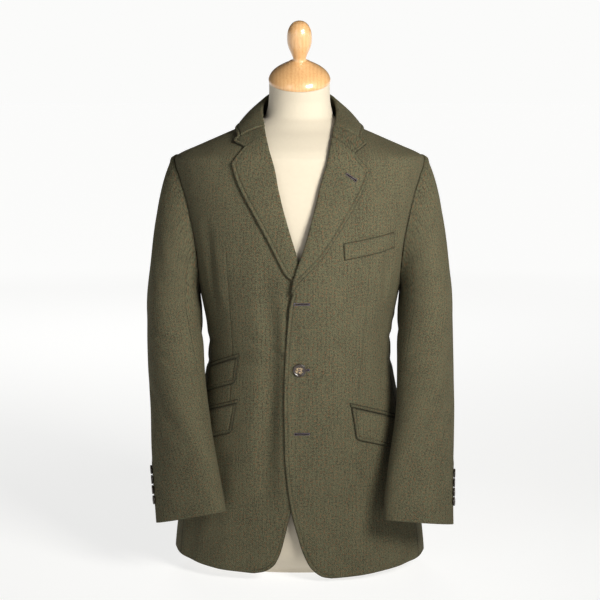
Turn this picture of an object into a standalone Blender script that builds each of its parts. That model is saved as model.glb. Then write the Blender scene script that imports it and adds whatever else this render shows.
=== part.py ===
"""Tweed hacking jacket on a limbless dress form: every cut piece is its own solid.

The jacket hangs closed at the middle of its three buttonholes, the wearer's left front over the
right. It faces -Y, the wearer's left is +X, +Z is up, and the form stands on z = 0. All sizes are
in metres and all angles in degrees unless a name says otherwise.
"""
import math

import bpy
import numpy as np
from mathutils import Matrix, Vector
from mathutils.geometry import delaunay_2d_cdt

LEFT, RIGHT = 1, -1     # the wearer's sides, which are also the signs of x

# ------------------------------------------------------------------ driving sizes
CLOTH = 0.0026          # wall of the interlined tweed
TRIM = 0.0022           # wall of flaps, jets and the breast welt
SEAM = 0.0003           # gap between two sewn pieces
LAID = 0.0006           # clear space under a piece that lies on a panel
BUTTON_CLEAR = 0.0003   # clear space under a button
TURNED_CLEAR = 0.0017   # clear space under a lapel and the fall of the collar
PANEL_STEP = 0.029      # spacing of the points of a large panel
TRIM_STEP = 0.016       # spacing of the points of a small piece that lies on a panel
ROUND = 0.165           # mean radius of the torso, which turns an angle into a length
SHOULDER = 0.742        # height of the shoulder tips
SLOPE_STRETCH = 2.2     # length of the shoulder slope for each metre that it rises
NECK_SEAM = 0.806       # height of the seam under the collar, at the sides and back
SHOULDER_SEAM = 97      # angle of the shoulder seam round the torso
SIDE_SEAMS = (72, 114)  # angles of the two seams of the side body, at the hem
ARM_STEP = 20           # angle between two lines of points down a sleeve
FRONT_OF_ARM, BACK_OF_ARM = 140, 220    # where the side body ends on the armhole
FOREARM_SEAM, HIND_SEAM = 120, 280      # where the two seams of a sleeve run
ROLL = 0.0021           # radius of the fold that a lapel or the collar rolls over
STAND_FOOT = 0.0012     # room for the slanted foot of the collar's stand

FRONT_BUTTON, CUFF_BUTTON = 0.0230, 0.0165      # diameters
BUTTON_HEIGHT = 0.380
CUFF_BUTTON_HEIGHTS = {      # down each sleeve, measured at the middle of its section
    LEFT: (0.1930, 0.1780, 0.1630, 0.1480),
    RIGHT: (0.2015, 0.1860, 0.1705, 0.1550),
}
CUFF_BUTTON_TURN = 293
VENT_TOP, VENT_UNDERLAY = 0.235, 12     # height of the back vent, angle of its hidden layer


class Table:
    """Rows of sizes under named columns; it is read smoothly between two rows."""

    def __init__(self, columns, *rows):
        data = np.array(rows, float)
        self.key = data[:, 0]
        self.column = {name: data[:, i] for i, name in enumerate(columns.split())}
        self.slope = {name: np.gradient(value, self.key) for name, value in self.column.items()}

    def at(self, name, key):
        """The column's value at that key."""
        x, y, m = self.key, self.column[name], self.slope[name]
        key = np.clip(np.asarray(key, float), x[0], x[-1])
        i = np.clip(np.searchsorted(x, key) - 1, 0, len(x) - 2)
        h = x[i + 1] - x[i]
        t = (key - x[i]) / h
        rise = t * t * (3 - 2 * t)
        bend = t * (1 - t)
        return (y[i] * (1 - rise) + y[i + 1] * rise
                + h * bend * ((1 - t) * m[i] - t * m[i + 1]))


# Level sections of the jacket's torso. Over the shoulder tips they climb the shoulder slope to
# the neck, and "lift" raises their back there.
TORSO = Table(
    "height width front back square middle lift",
    (0.000, 0.2260, 0.128, 0.136, 0.02, 0.004, 0.000),
    (0.060, 0.2207, 0.128, 0.135, 0.02, 0.004, 0.000),
    (0.130, 0.2115, 0.128, 0.133, 0.02, 0.004, 0.000),
    (0.200, 0.2005, 0.127, 0.130, 0.03, 0.003, 0.000),
    (0.270, 0.1870, 0.125, 0.126, 0.03, 0.002, 0.000),
    (0.337, 0.1710, 0.123, 0.119, 0.04, 0.001, 0.000),
    (0.398, 0.1615, 0.124, 0.114, 0.05, 0.000, 0.000),
    (0.440, 0.1640, 0.127, 0.116, 0.06, 0.000, 0.000),
    (0.484, 0.1720, 0.131, 0.121, 0.06, 0.000, 0.000),
    (0.530, 0.1820, 0.134, 0.126, 0.07, 0.000, 0.000),
    (0.580, 0.1935, 0.135, 0.129, 0.07, 0.001, 0.000),
    (0.630, 0.2040, 0.133, 0.130, 0.07, 0.003, 0.000),
    (0.675, 0.2120, 0.127, 0.126, 0.06, 0.006, 0.000),
    (0.710, 0.2175, 0.120, 0.119, 0.05, 0.008, 0.000),
    (0.730, 0.2200, 0.115, 0.113, 0.05, 0.010, 0.000),
    (0.742, 0.2165, 0.1125, 0.110, 0.05, 0.010, 0.001),
    (0.749, 0.2040, 0.1100, 0.107, 0.05, 0.011, 0.003),
    (0.757, 0.1850, 0.1060, 0.102, 0.05, 0.012, 0.006),
    (0.768, 0.1595, 0.0980, 0.093, 0.04, 0.014, 0.009),
    (0.781, 0.1295, 0.0865, 0.082, 0.03, 0.016, 0.012),
    (0.793, 0.1020, 0.074, 0.071, 0.02, 0.018, 0.015),
    (0.803, 0.0830, 0.066, 0.063, 0.00, 0.019, 0.017),
    (0.815, 0.0740, 0.058, 0.056, 0.00, 0.020, 0.018),
)

# Height of the hem round the jacket; the wearer's right hangs a little higher.
HEM = Table(
    "angle height",
    (-180, 0.0240), (-120, 0.0320), (-90, 0.0320), (-60, 0.0245), (-40, 0.0180), (-22, 0.0150),
    (0, 0.0100), (14, 0.0070), (30, 0.0100), (50, 0.0165), (75, 0.0225), (90, 0.0255),
    (120, 0.0270), (180, 0.0240),
)

# The front edges, from the lapel down to the rounded quarter, as x at each height.
LEFT_EDGE = (
    (-0.0120, 0.5140), (-0.0180, 0.4940), (-0.0220, 0.4510), (-0.0250, 0.3900),
    (-0.0268, 0.3300), (-0.0265, 0.2700), (-0.0242, 0.2000), (-0.0190, 0.1550),
    (-0.0122, 0.1160), (-0.0040, 0.0865), (0.0070, 0.0515), (0.0220, 0.0240),
    (0.0400, 0.0105), (0.0560, 0.0070),
)
RIGHT_EDGE = (
    (0.0110, 0.5150), (0.0180, 0.4850), (0.0225, 0.4400), (0.0245, 0.3800),
    (0.0240, 0.3200), (0.0210, 0.2700), (0.0130, 0.2200), (0.0020, 0.1800),
    (-0.0080, 0.1500), (-0.0165, 0.1200), (-0.0254, 0.0826), (-0.0350, 0.0490),
    (-0.0450, 0.0300), (-0.0600, 0.0195), (-0.0800, 0.0150),
)

# The lines that the lapels roll over, as x at each height, up to the neck seam.
ROLL_LINES = {
    LEFT: Table(
        "height x",
        (0.5140, -0.0120), (0.5400, -0.0065), (0.5660, 0.0015), (0.5950, 0.0117),
        (0.6230, 0.0196), (0.6620, 0.0300), (0.6975, 0.0385), (0.7330, 0.0490),
        (0.7636, 0.0556), (0.7940, 0.0622),
    ),
    RIGHT: Table(
        "height x",
        (0.5150, 0.0110), (0.5300, 0.0060), (0.5600, -0.0030), (0.5845, -0.0095),
        (0.6100, -0.0174), (0.6460, -0.0280), (0.6870, -0.0383), (0.7280, -0.0463),
        (0.7585, -0.0557), (0.7940, -0.0640),
    ),
}

# Lapel edges from the foot of the roll to the point and the notch, then the gorge.
LAPEL_EDGES = {
    LEFT: ((0.0000, 0.5350), (0.0181, 0.5535), (0.0389, 0.5765), (0.0572, 0.6020),
           (0.0783, 0.6350), (0.0968, 0.6660), (0.1115, 0.6960), (0.1210, 0.7196)),
    RIGHT: ((-0.0020, 0.5290), (-0.0213, 0.5430), (-0.0367, 0.5686), (-0.0577, 0.6100),
            (-0.0786, 0.6485), (-0.0997, 0.6870), (-0.1110, 0.7140), (-0.1170, 0.7340)),
}
NOTCH = {LEFT: (0.0950, 0.7490), RIGHT: (-0.0940, 0.7590)}
COLLAR_POINT = {LEFT: (0.1150, 0.7630), RIGHT: (-0.1140, 0.7670)}
GORGE_TOP = {LEFT: 0.7760, RIGHT: 0.7790}      # height at which the gorge meets the roll line

# The neck edge of a front, under the collar, between its roll line and the shoulder seam.
FRONT_TOP = 0.788
NECK_EDGE = Table("angle height", (36, 0.788), (52, 0.7955), (72, 0.8030), (97, 0.806))
# The foot of the collar's stand.
STAND_LINE = Table("angle height", (36, 0.794), (52, 0.7995), (72, 0.804), (97, 0.806), (180, 0.806))

# The collar, from the middle of the back to its front end: the seam under its stand, the crease,
# and the outer edge, which lies on the body at an angle and a height.
COLLAR = Table(
    "station seam crease_x crease_y crease_z edge_angle edge_height",
    (0.0, 180, 0.0000, 0.0790, 0.8530, 180.0, 0.7870),
    (1.0, 156, 0.0310, 0.0725, 0.8510, 158.0, 0.7860),
    (2.0, 132, 0.0515, 0.0560, 0.8450, 135.0, 0.7850),
    (3.0, 111, 0.0615, 0.0370, 0.8365, 115.0, 0.7860),
    (4.0, 93, 0.0655, 0.0180, 0.8270, 96.0, 0.7900),
    (5.0, 78, 0.0665, 0.0000, 0.8175, 79.0, 0.7880),
    (6.0, 64, 0.0658, -0.0180, 0.8080, 62.0, 0.7830),
    (7.0, 51, 0.0640, -0.0350, 0.7985, 50.0, 0.7770),
    (8.0, 40, 0.0620, -0.0480, 0.7900, 43.5, 0.7700),
)
COLLAR_FRONT_TOP = 0.7925   # height at which the crease joins the roll line

# The armhole, once round from the shoulder tip over the front: its place on the torso, and the
# direction in which the sleeve leaves it.
ARMHOLE = Table(
    "turn angle height out forward down",
    (-60, 110.5, 0.695, 0.85, -0.30, 0.35),
    (-30, 104.0, 0.728, 0.94, -0.15, 0.30),
    (0, 97.0, 0.7425, 0.97, 0.00, 0.24),
    (30, 82.0, 0.729, 0.94, 0.15, 0.30),
    (60, 71.5, 0.692, 0.88, 0.30, 0.35),
    (90, 66.0, 0.638, 0.85, 0.38, 0.35),
    (120, 66.5, 0.580, 0.80, 0.35, 0.50),
    (150, 75.0, 0.530, 0.60, 0.15, 0.80),
    (180, 91.0, 0.510, 0.35, 0.00, 0.95),
    (210, 106.0, 0.529, 0.60, -0.15, 0.80),
    (240, 114.5, 0.580, 0.80, -0.35, 0.50),
    (270, 115.5, 0.640, 0.85, -0.38, 0.35),
    (300, 110.5, 0.695, 0.85, -0.30, 0.35),
    (330, 104.0, 0.728, 0.94, -0.15, 0.30),
    (360, 97.0, 0.7425, 0.97, 0.00, 0.24),
    (390, 82.0, 0.729, 0.94, 0.15, 0.30),
)

# How far the curve of the sleeve head is pulled along both of its end directions.
SLEEVE_HEAD = Table(
    "turn start end",
    (-45, 0.031, 0.050), (0, 0.032, 0.042), (45, 0.031, 0.050), (90, 0.030, 0.050),
    (135, 0.016, 0.030), (180, 0.006, 0.010), (225, 0.016, 0.030), (270, 0.030, 0.050),
    (315, 0.031, 0.050), (360, 0.032, 0.042), (405, 0.031, 0.050),
)

# Sections of a sleeve below the armhole. "long" runs from the forearm edge to the hind edge and
# "turn" swings the forearm edge in over the thigh; the rises slant the section.
SLEEVE = Table(
    "height x_left x_right forward long thick turn rise_in_left rise_in_right rise_front",
    (0.090, 0.2078, 0.1865, 0.126, 0.0665, 0.0280, 65, 0.10, 0.20, 0.20),
    (0.130, 0.2082, 0.1905, 0.119, 0.0660, 0.0290, 63, 0.09, 0.19, 0.19),
    (0.180, 0.2108, 0.1975, 0.107, 0.0655, 0.0320, 58, 0.06, 0.12, 0.14),
    (0.240, 0.2165, 0.2055, 0.089, 0.0640, 0.0370, 50, 0.02, 0.06, 0.08),
    (0.300, 0.2220, 0.2115, 0.069, 0.0625, 0.0425, 36, 0.00, 0.02, 0.03),
    (0.360, 0.2235, 0.2180, 0.045, 0.0640, 0.0470, 20, 0.00, 0.00, 0.00),
    (0.420, 0.2238, 0.2215, 0.024, 0.0700, 0.0485, 7, 0.00, 0.00, 0.00),
    (0.470, 0.2240, 0.2225, 0.011, 0.0755, 0.0475, 0, 0.00, 0.00, 0.00),
)
BICEP = 0.470                           # height of the sleeves' first level section
CUFF = {LEFT: 0.110, RIGHT: 0.1185}     # and of the last ones
HEAD_ROWS, ARM_ROWS = 6, 13
SLEEVE_SQUARE = 0.06

# The dress form lies inside the jacket by this much; its foot turns in under the hem.
FORM_EASE = Table(
    "height ease",
    (0.000, 0.0600), (0.008, 0.0540), (0.022, 0.0360), (0.042, 0.0210), (0.070, 0.0160),
    (0.120, 0.0150), (0.240, 0.0130), (0.400, 0.0080), (0.560, 0.0070),
    (0.660, 0.0060), (0.720, 0.0045), (0.749, 0.0031), (0.793, 0.0031), (0.815, 0.0030),
)
# The neck of the form: level sections over the shoulders.
FORM_NECK = Table(
    "height radius deep middle lift",
    (0.811, 0.0620, 0.0545, 0.0190, 0.0180), (0.821, 0.0580, 0.0535, 0.0185, 0.0150),
    (0.833, 0.0552, 0.0530, 0.0170, 0.0090), (0.850, 0.0538, 0.0530, 0.0145, 0.0020),
    (0.8733, 0.0535, 0.0535, 0.0105, 0.0000),
)
FORM_HEIGHTS = (
    0.0, 0.008, 0.022, 0.042, 0.07, 0.12, 0.18, 0.24, 0.30, 0.35, 0.395, 0.44, 0.49, 0.54, 0.59,
    0.64, 0.685, 0.715, 0.732, 0.742, 0.749, 0.757, 0.768, 0.781, 0.793, 0.803,
)
LEAN_FROM, LEAN_OVER = 0.836, 0.030     # where the top of the neck turns parallel to the cap
CAP_TILT = 19.5
CAP_FOOT = (0.0, 0.010, 0.8735)     # middle of the cap's underside
# Turned profile of the neck cap: radius at each length along its axis.
CAP_PROFILE = (
    (0.0545, 0.0000), (0.0548, 0.0035), (0.0533, 0.0080), (0.0506, 0.0127), (0.0466, 0.0172),
    (0.0416, 0.0213), (0.0360, 0.0250), (0.0300, 0.0286), (0.0243, 0.0317), (0.0212, 0.0334),
    (0.0200, 0.0345), (0.0160, 0.0366), (0.0125, 0.0388), (0.0116, 0.0425), (0.0130, 0.0470),
    (0.0162, 0.0548), (0.0192, 0.0621), (0.0211, 0.0694), (0.0218, 0.0780), (0.0213, 0.0870),
    (0.0193, 0.0949), (0.0156, 0.1020), (0.0105, 0.1070), (0.0050, 0.1093), (0.0000, 0.1100),
)

COLOURS = {
    "tweed": ((0.105, 0.092, 0.055), 0.95),
    "horn": ((0.060, 0.042, 0.028), 0.35),
    "jersey": ((0.880, 0.820, 0.700), 0.90),
    "beech": ((0.620, 0.330, 0.120), 0.25),
}


# ------------------------------------------------------------------ surfaces
def ease(t):
    """0 below 0, 1 above 1, and a soft step between."""
    t = np.clip(t, 0, 1)
    return t * t * (3 - 2 * t)


def unit(v):
    return v / np.maximum(np.linalg.norm(v, axis=-1, keepdims=True), 1e-12)


def torso(angle, height):
    """A point on the middle of the jacket's wall; angle 0 is the middle of the front."""
    a = np.radians(angle)
    s, c = np.sin(a), np.cos(a)
    width, square = TORSO.at("width", height), TORSO.at("square", height)
    deep = (TORSO.at("front", height) * (1 + c) + TORSO.at("back", height) * (1 - c)) / 2
    x = width * s * (1 + square * c * c)
    y = TORSO.at("middle", height) - deep * c * (1 + square * s * s)
    z = height + TORSO.at("lift", height) * np.maximum(0, -c) ** 2
    return np.stack(np.broadcast_arrays(x, y, z), -1)


def angle_at(x, height):
    """The angle at which the front of the torso has that x."""
    want = np.clip(x / TORSO.at("width", height), -1, 1)
    square = TORSO.at("square", height)
    s = want
    for _ in range(6):
        s = want / (1 + square * (1 - s * s))
    return np.degrees(np.arcsin(np.clip(s, -1, 1)))


def normals(surface, u, v, reach=0.0006):
    """Outward normals of a surface given by a function of two lengths."""
    across = surface(u + reach, v) - surface(u - reach, v)
    along = surface(u, v + reach) - surface(u, v - reach)
    return unit(np.cross(across, along))


def moved_out(surface, distance):
    """The same surface, moved out along its normals by a length or a function of its points."""
    def moved(u, v):
        point = surface(u, v)
        far = distance(point) if callable(distance) else distance
        return point + normals(surface, u, v) * np.asarray(far)[..., None]
    return moved


def height_of(v):
    """The section that lies at length v up the panel."""
    return np.where(v <= SHOULDER, v, SHOULDER + (v - SHOULDER) / SLOPE_STRETCH)


def body(u, v):
    """The torso by lengths round and up it."""
    return torso(np.degrees(u / ROUND), height_of(v))


def at(angle, height):
    """The lengths (u, v) of a place on the torso."""
    up = height if height <= SHOULDER else SHOULDER + (height - SHOULDER) * SLOPE_STRETCH
    return (math.radians(angle) * ROUND, float(up))


def front_lift(side):
    """How far a front stands off the torso where the two fronts overlap."""
    def left(point):
        x, z = point[..., 0], point[..., 2]
        lapped = 0.0018 * ease((0.080 - x) / 0.050) * ease((0.690 - z) / 0.080)
        over_lapel = (0.0046 * ease((0.095 - np.abs(x)) / 0.070)
                      * ease((0.125 - np.abs(z - 0.540)) / 0.085))
        return lapped + over_lapel

    def right(point):
        x, z = point[..., 0], point[..., 2]
        return -0.0016 * ease((x + 0.080) / 0.050) * ease((0.690 - z) / 0.080)
    return left if side == LEFT else right


def back_lift(side):
    """How far a back stands off the torso along the vent."""
    def lift(point):
        near = ease((0.095 - np.abs(point[..., 0])) / 0.045) * (point[..., 1] > 0)
        return side * 0.0017 * near * ease((VENT_TOP + 0.050 - point[..., 2]) / 0.045)
    return lift


FRONT = {side: moved_out(body, front_lift(side)) for side in (LEFT, RIGHT)}
BACK = {side: moved_out(body, back_lift(side)) for side in (LEFT, RIGHT)}


def on_front(side, x, z):
    """The lengths (u, v) of the place on a front that has that x and z."""
    v = np.where(z <= SHOULDER, z, SHOULDER + (z - SHOULDER) * SLOPE_STRETCH)
    return np.radians(angle_at(x, z)) * ROUND, v


def lapel(side):
    """The lapel by its distance out from the roll line and its height; below 0 it rolls under."""
    def surface(a, b):
        rolled = np.clip(-a / ROLL, 0, math.pi)
        out = np.where(a < 0, -ROLL * np.sin(rolled), a)
        flat = CLOTH + TURNED_CLEAR
        high = np.where(a < 0, ROLL * (1 + np.cos(rolled)),
                        flat + (2 * ROLL - flat) * np.exp(-np.maximum(a, 0) / 0.012))
        x = ROLL_LINES[side].at("x", b) + side * out
        u, v = on_front(side, x, b)
        return FRONT[side](u, v) + normals(FRONT[side], u, v) * high[..., None]
    return surface


# ------------------------------------------------------------------ lines on the surfaces
def evenly(points, step):
    """Points about step apart along a smooth line through the given points."""
    points = np.asarray(points, float)
    far = np.concatenate([[0], np.cumsum(np.linalg.norm(np.diff(points, axis=0), axis=1))])
    line = Table("far x y", *zip(far, points[:, 0], points[:, 1]))
    fine = np.linspace(0, far[-1], 400)
    path = np.stack([line.at("x", fine), line.at("y", fine)], 1)
    long = np.concatenate([[0], np.cumsum(np.linalg.norm(np.diff(path, axis=0), axis=1))])
    places = np.linspace(0, long[-1], max(2, int(round(long[-1] / step)) + 1))
    return [tuple(p) for p in np.stack([np.interp(places, long, path[:, i]) for i in (0, 1)], 1)]


def straight(a, b, step):
    """Points about step apart from a to b."""
    count = max(1, int(round(math.dist(a, b) / step)))
    return [tuple(np.asarray(a) + (np.asarray(b) - a) * i / count) for i in range(count + 1)]


def chain(*lines):
    """The lines as one closed outline, each shared end kept once."""
    outline = []
    for line in lines:
        for point in line:
            if not outline or math.dist(outline[-1], point) > 1e-6:
                outline.append(tuple(point))
    if math.dist(outline[0], outline[-1]) < 1e-6:
        outline.pop()
    return outline


def mirrored(line):
    return [(-u, v) for u, v in line]


def armhole(first, last):
    """The armhole of the wearer's left as places (u, v), from one turn to another."""
    turns = range(first, last + 1, ARM_STEP)
    return [at(ARMHOLE.at("angle", t), ARMHOLE.at("height", t)) for t in turns]


def hem(first, last, step):
    """The hem from one angle to the other."""
    count = max(1, int(round(math.radians(abs(last - first)) * ROUND / step)))
    angles = [first + (last - first) * i / count for i in range(count + 1)]
    return [at(a, HEM.at("height", a)) for a in angles]


def side_seam(side, which, step):
    """A seam of the side body from hem to armhole, on the wearer's left or mirrored."""
    angle = SIDE_SEAMS[which]
    end = armhole(*((FRONT_OF_ARM, FRONT_OF_ARM) if which == 0 else (BACK_OF_ARM, BACK_OF_ARM)))[0]
    line = straight(at(angle, HEM.at("height", side * angle)), end, step)
    return line if side == LEFT else mirrored(line)


def sided(side, line):
    return line if side == LEFT else mirrored(line)


# ------------------------------------------------------------------ solids
def material(name):
    """One plain Principled material for each kind of stuff."""
    made = bpy.data.materials.get(name)
    if made is None:
        made = bpy.data.materials.new(name)
        made.use_nodes = True
        colour, rough = COLOURS[name]
        shader = made.node_tree.nodes["Principled BSDF"]
        shader.inputs["Base Color"].default_value = (*colour, 1)
        shader.inputs["Roughness"].default_value = rough
        made.diffuse_color = (*colour, 1)
    return made


def solid(name, points, faces, stuff, smooth=40):
    """An object from points and faces, shaded smooth up to that many degrees."""
    mesh = bpy.data.meshes.new(name)
    mesh.from_pydata([tuple(p) for p in points], [], faces)
    mesh.materials.append(material(stuff))
    mesh.shade_smooth()
    mesh.set_sharp_from_angle(angle=math.radians(smooth))
    made = bpy.data.objects.new(name, mesh)
    bpy.context.collection.objects.link(made)
    return made


def inward_steps(points, faces, out, gap):
    """For each point on the sheet's rim, its step into the sheet that leaves the gap."""
    edges = {(f[i], f[(i + 1) % len(f)]) for f in faces for i in range(len(f))}
    rim = [(a, b) for a, b in edges if (b, a) not in edges]
    into = {}
    for a, b in rim:
        along = unit(points[b] - points[a])
        for i in (a, b):
            into.setdefault(i, []).append(unit(np.cross(out[i], along)))
    steps = np.zeros_like(points)
    for i, (first, second) in into.items():
        steps[i] = gap * (first + second) / max(1 + first @ second, 0.35)
    return rim, steps


def walled(name, points, faces, out, wall, gap=SEAM / 2):
    """A closed wall round a sheet: its middle points, its faces and its outward directions.

    Both pieces at a seam split their edge faces along the same diagonals.
    """
    rim, steps = inward_steps(points, faces, out, gap)
    middle = points + steps
    count = len(points)
    both = np.concatenate([middle + out * wall / 2, middle - out * wall / 2])
    skin = [tuple(f) for f in faces] + [tuple(i + count for i in reversed(f)) for f in faces]
    sides = []
    order = np.round(np.abs(points), 5).tolist()
    for a, b in rim:
        if order[a] < order[b]:
            sides += [(a + count, b + count, a), (b + count, b, a)]
        else:
            sides += [(a + count, b + count, b), (a + count, b, a)]
    return solid(name, both, skin + sides, "tweed")


def inside(outline, place):
    """Whether a place is inside the outline."""
    x, y = place
    hit = False
    for (ax, ay), (bx, by) in zip(outline, outline[1:] + outline[:1]):
        if (ay > y) != (by > y) and x < ax + (y - ay) * (bx - ax) / (by - ay):
            hit = not hit
    return hit


def distance_to(outline, place):
    """The distance from a place to the outline."""
    p = np.asarray(place)
    a = np.asarray(outline)
    d = np.roll(a, -1, axis=0) - a
    t = np.clip(((p - a) * d).sum(1) / np.maximum((d * d).sum(1), 1e-15), 0, 1)
    return float(np.linalg.norm(a + d * t[:, None] - p, axis=1).min())


def filled(outline, step, also=()):
    """Triangles that fill an outline: its own points, others given, and a grid of points."""
    low, high = np.min(outline, axis=0), np.max(outline, axis=0)
    places = list(outline) + list(also)
    near = np.array(also) if len(also) else np.full((1, 2), 1e3)
    rows = max(1, int(round((high[1] - low[1]) / step)))
    columns = max(1, int(round((high[0] - low[0]) / step)))
    for j in range(1, rows):
        for i in range(1, columns):
            place = tuple(low + (high - low) * (i / columns, j / rows))
            clear = np.linalg.norm(near - place, axis=1).min() > 0.6 * step
            if clear and inside(outline, place) and distance_to(outline, place) > 0.45 * step:
                places.append(place)
    ring = list(range(len(outline)))
    made = delaunay_2d_cdt([Vector(p) for p in places], [], [ring], 1, 1e-7)
    flat = np.array([tuple(p) for p in made[0]])
    faces = []
    for f in made[2]:
        (ax, ay), (bx, by), (cx, cy) = (flat[i] for i in f)
        turn = (bx - ax) * (cy - ay) - (by - ay) * (cx - ax)
        faces.append(tuple(f) if turn > 0 else tuple(reversed(f)))
    return flat, faces


def panel(name, outline, surface, wall=CLOTH, step=PANEL_STEP, also=()):
    """A flat outline, filled and laid on a surface, as a wall of cloth."""
    flat, faces = filled(outline, step, also)
    u, v = flat[:, 0], flat[:, 1]
    return walled(name, surface(u, v), faces, normals(surface, u, v), wall)


def woven(rows):
    """Points and faces of a grid given row by row."""
    points = np.array(rows, float)
    down, along = points.shape[:2]
    faces = [(i * along + j, i * along + j + 1, (i + 1) * along + j + 1, (i + 1) * along + j)
             for i in range(down - 1) for j in range(along - 1)]
    return points.reshape(-1, 3), faces


def point_normals(points, faces):
    """Mean normals of the faces round each point."""
    out = np.zeros_like(points)
    for f in faces:
        corner = points[list(f)]
        normal = np.cross(corner[2] - corner[0], corner[-1] - corner[1])
        for i in f:
            out[i] += normal
    return unit(out)


# ------------------------------------------------------------------ the jacket's body
def front(side, name, edge):
    """A front: hem, side seam, armhole, shoulder, neck, roll line, front edge and quarter."""
    step = PANEL_STEP * 0.9
    roll_top = at(angle_at(ROLL_LINES[side].at("x", FRONT_TOP), FRONT_TOP), FRONT_TOP)
    quarter = [on_front(side, x, z) for x, z in edge]
    seam = side_seam(side, 0, PANEL_STEP)
    first = math.degrees(quarter[-1][0] / ROUND)
    bottom = hem(first, side * SIDE_SEAMS[0], step)
    bottom[0] = quarter[-1]
    hole = sided(side, armhole(0, FRONT_OF_ARM))
    shoulder = shoulder_seam(side)
    start = abs(math.degrees(roll_top[0] / ROUND))
    angles = np.linspace(SHOULDER_SEAM, start, 5)
    neck = [at(side * a, NECK_EDGE.at("height", a)) for a in angles[:-1]] + [roll_top]
    lines = [bottom, seam, hole[::-1], shoulder, neck, roll_line(side)[::-1],
             evenly(quarter, step)]
    outline = chain(*lines)
    if side == RIGHT:
        outline.reverse()
    panel(name, outline, FRONT[side], also=under_collar(side, outline))


def under_collar(side, outline):
    """Closer points of a front where the collar and the head of the lapel lie on it."""
    step = 0.015
    places = []
    for v in np.arange(0.705, 0.880, step):
        high = float(height_of(v))
        u = float(on_front(side, ROLL_LINES[side].at("x", high), high)[0])
        places += [(u + side * step * i, v) for i in range(1, 9)]
    return [p for p in places if inside(outline, p) and distance_to(outline, p) > 0.4 * step]


def shoulder_seam(side):
    """The shoulder seam from the tip to the neck."""
    tip, neck = at(SHOULDER_SEAM, 0.7425), at(SHOULDER_SEAM, NECK_SEAM)
    return sided(side, straight(tip, neck, PANEL_STEP * 0.9))


def roll_heights(side):
    """Heights of the points that a front and its lapel share."""
    table = ROLL_LINES[side].key
    gorge = GORGE_TOP[side]
    below = np.linspace(table[0], gorge, int(round((gorge - table[0]) / 0.020)) + 1)
    return [float(h) for h in below] + [FRONT_TOP]


def roll_line(side):
    """The roll line from the front edge up to the neck."""
    heights = roll_heights(side)
    return [tuple(float(n) for n in on_front(side, ROLL_LINES[side].at("x", h), h))
            for h in heights]


def side_body(side, name):
    """The narrow panel under the arm."""
    front_seam, back_seam = (side_seam(side, i, PANEL_STEP) for i in (0, 1))
    bottom = hem(side * SIDE_SEAMS[0], side * SIDE_SEAMS[1], PANEL_STEP * 0.9)
    top = sided(side, armhole(FRONT_OF_ARM, BACK_OF_ARM))
    outline = chain(bottom, back_seam, top[::-1], front_seam[::-1])
    if side == RIGHT:
        outline.reverse()
    panel(name, outline, body)


def back(side, name):
    """Half the back; the right one runs on under the left one at the vent."""
    step = PANEL_STEP * 0.9
    under = VENT_UNDERLAY if side == RIGHT else 0
    seam = side_seam(side, 1, PANEL_STEP)
    bottom = [at(side * a, HEM.at("height", side * min(a, 180)))
              for a in np.linspace(SIDE_SEAMS[1], 180 + under, 8 if under else 7)]
    centre = straight(at(180, VENT_TOP), at(180, NECK_SEAM), PANEL_STEP)
    foot = at(180 + under, HEM.at("height", 180))
    vent = straight(foot, at(180 + under, VENT_TOP), PANEL_STEP)
    angles = np.linspace(180, SHOULDER_SEAM, 6)
    neck = [at(side * a, NECK_SEAM) for a in angles]
    hole = sided(side, armhole(BACK_OF_ARM, 360))
    outline = chain(bottom, sided(side, vent), sided(side, centre), neck,
                    shoulder_seam(side)[::-1], hole[::-1], seam[::-1])
    if side == RIGHT:
        outline.reverse()
    panel(name, outline, BACK[side])


# ------------------------------------------------------------------ lapels and collar
def gorge_line(side, count=3):
    """Places (a, b) along the gorge, from the roll line out to the notch."""
    x, z = NOTCH[side]
    end = (side * (x - ROLL_LINES[side].at("x", z)), z)
    start = (0.0, GORGE_TOP[side])
    return [tuple(np.asarray(start) + (np.asarray(end) - start) * i / count)
            for i in range(count + 1)]


ROLL_TURNS = (1.0, 0.75, 0.5, 0.25)     # places round the fold, from the front's edge to the top


def lapel_piece(side, name):
    """A lapel with the fold that it rolls over."""
    def place(x, z):
        return (side * (x - float(ROLL_LINES[side].at("x", z))), z)

    edge = [place(x, z) for x, z in LAPEL_EDGES[side]]
    foot = ROLL_LINES[side].key[0]
    under = [(-math.pi * ROLL, h) for h in roll_heights(side)[:-1]]
    toe = [(0.0, foot), edge[0]]
    top_fold = [(-math.pi * ROLL * t, GORGE_TOP[side]) for t in ROLL_TURNS]
    bottom_fold = [(-math.pi * ROLL * t, foot) for t in ROLL_TURNS]
    outer = evenly(edge, TRIM_STEP)
    notch = place(*NOTCH[side])
    top = straight(edge[-1], notch, TRIM_STEP)
    outline = chain(bottom_fold, toe, outer, top, gorge_line(side)[::-1], top_fold[::-1],
                    under[::-1])
    fold = [(-math.pi * ROLL * t, h) for h in roll_heights(side)[1:-2] for t in ROLL_TURNS[1:]]
    fold += [(0.0, h) for h in roll_heights(side)[1:-2]]
    fold += [(a, b - 0.010) for a, b in gorge_line(side, 5)[1:-1]]
    flat, faces = filled(outline, TRIM_STEP, fold)
    surface = lapel(side)
    u, v = flat[:, 0], flat[:, 1]
    out = normals(surface, u, v)
    if side == RIGHT:
        out = -out
        faces = [tuple(reversed(f)) for f in faces]
    walled(name, surface(u, v), faces, out, CLOTH)


def collar_place(side, station):
    """A point of the collar's crease."""
    return np.array([side * COLLAR.at("crease_x", station), COLLAR.at("crease_y", station),
                     COLLAR.at("crease_z", station)])


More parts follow.
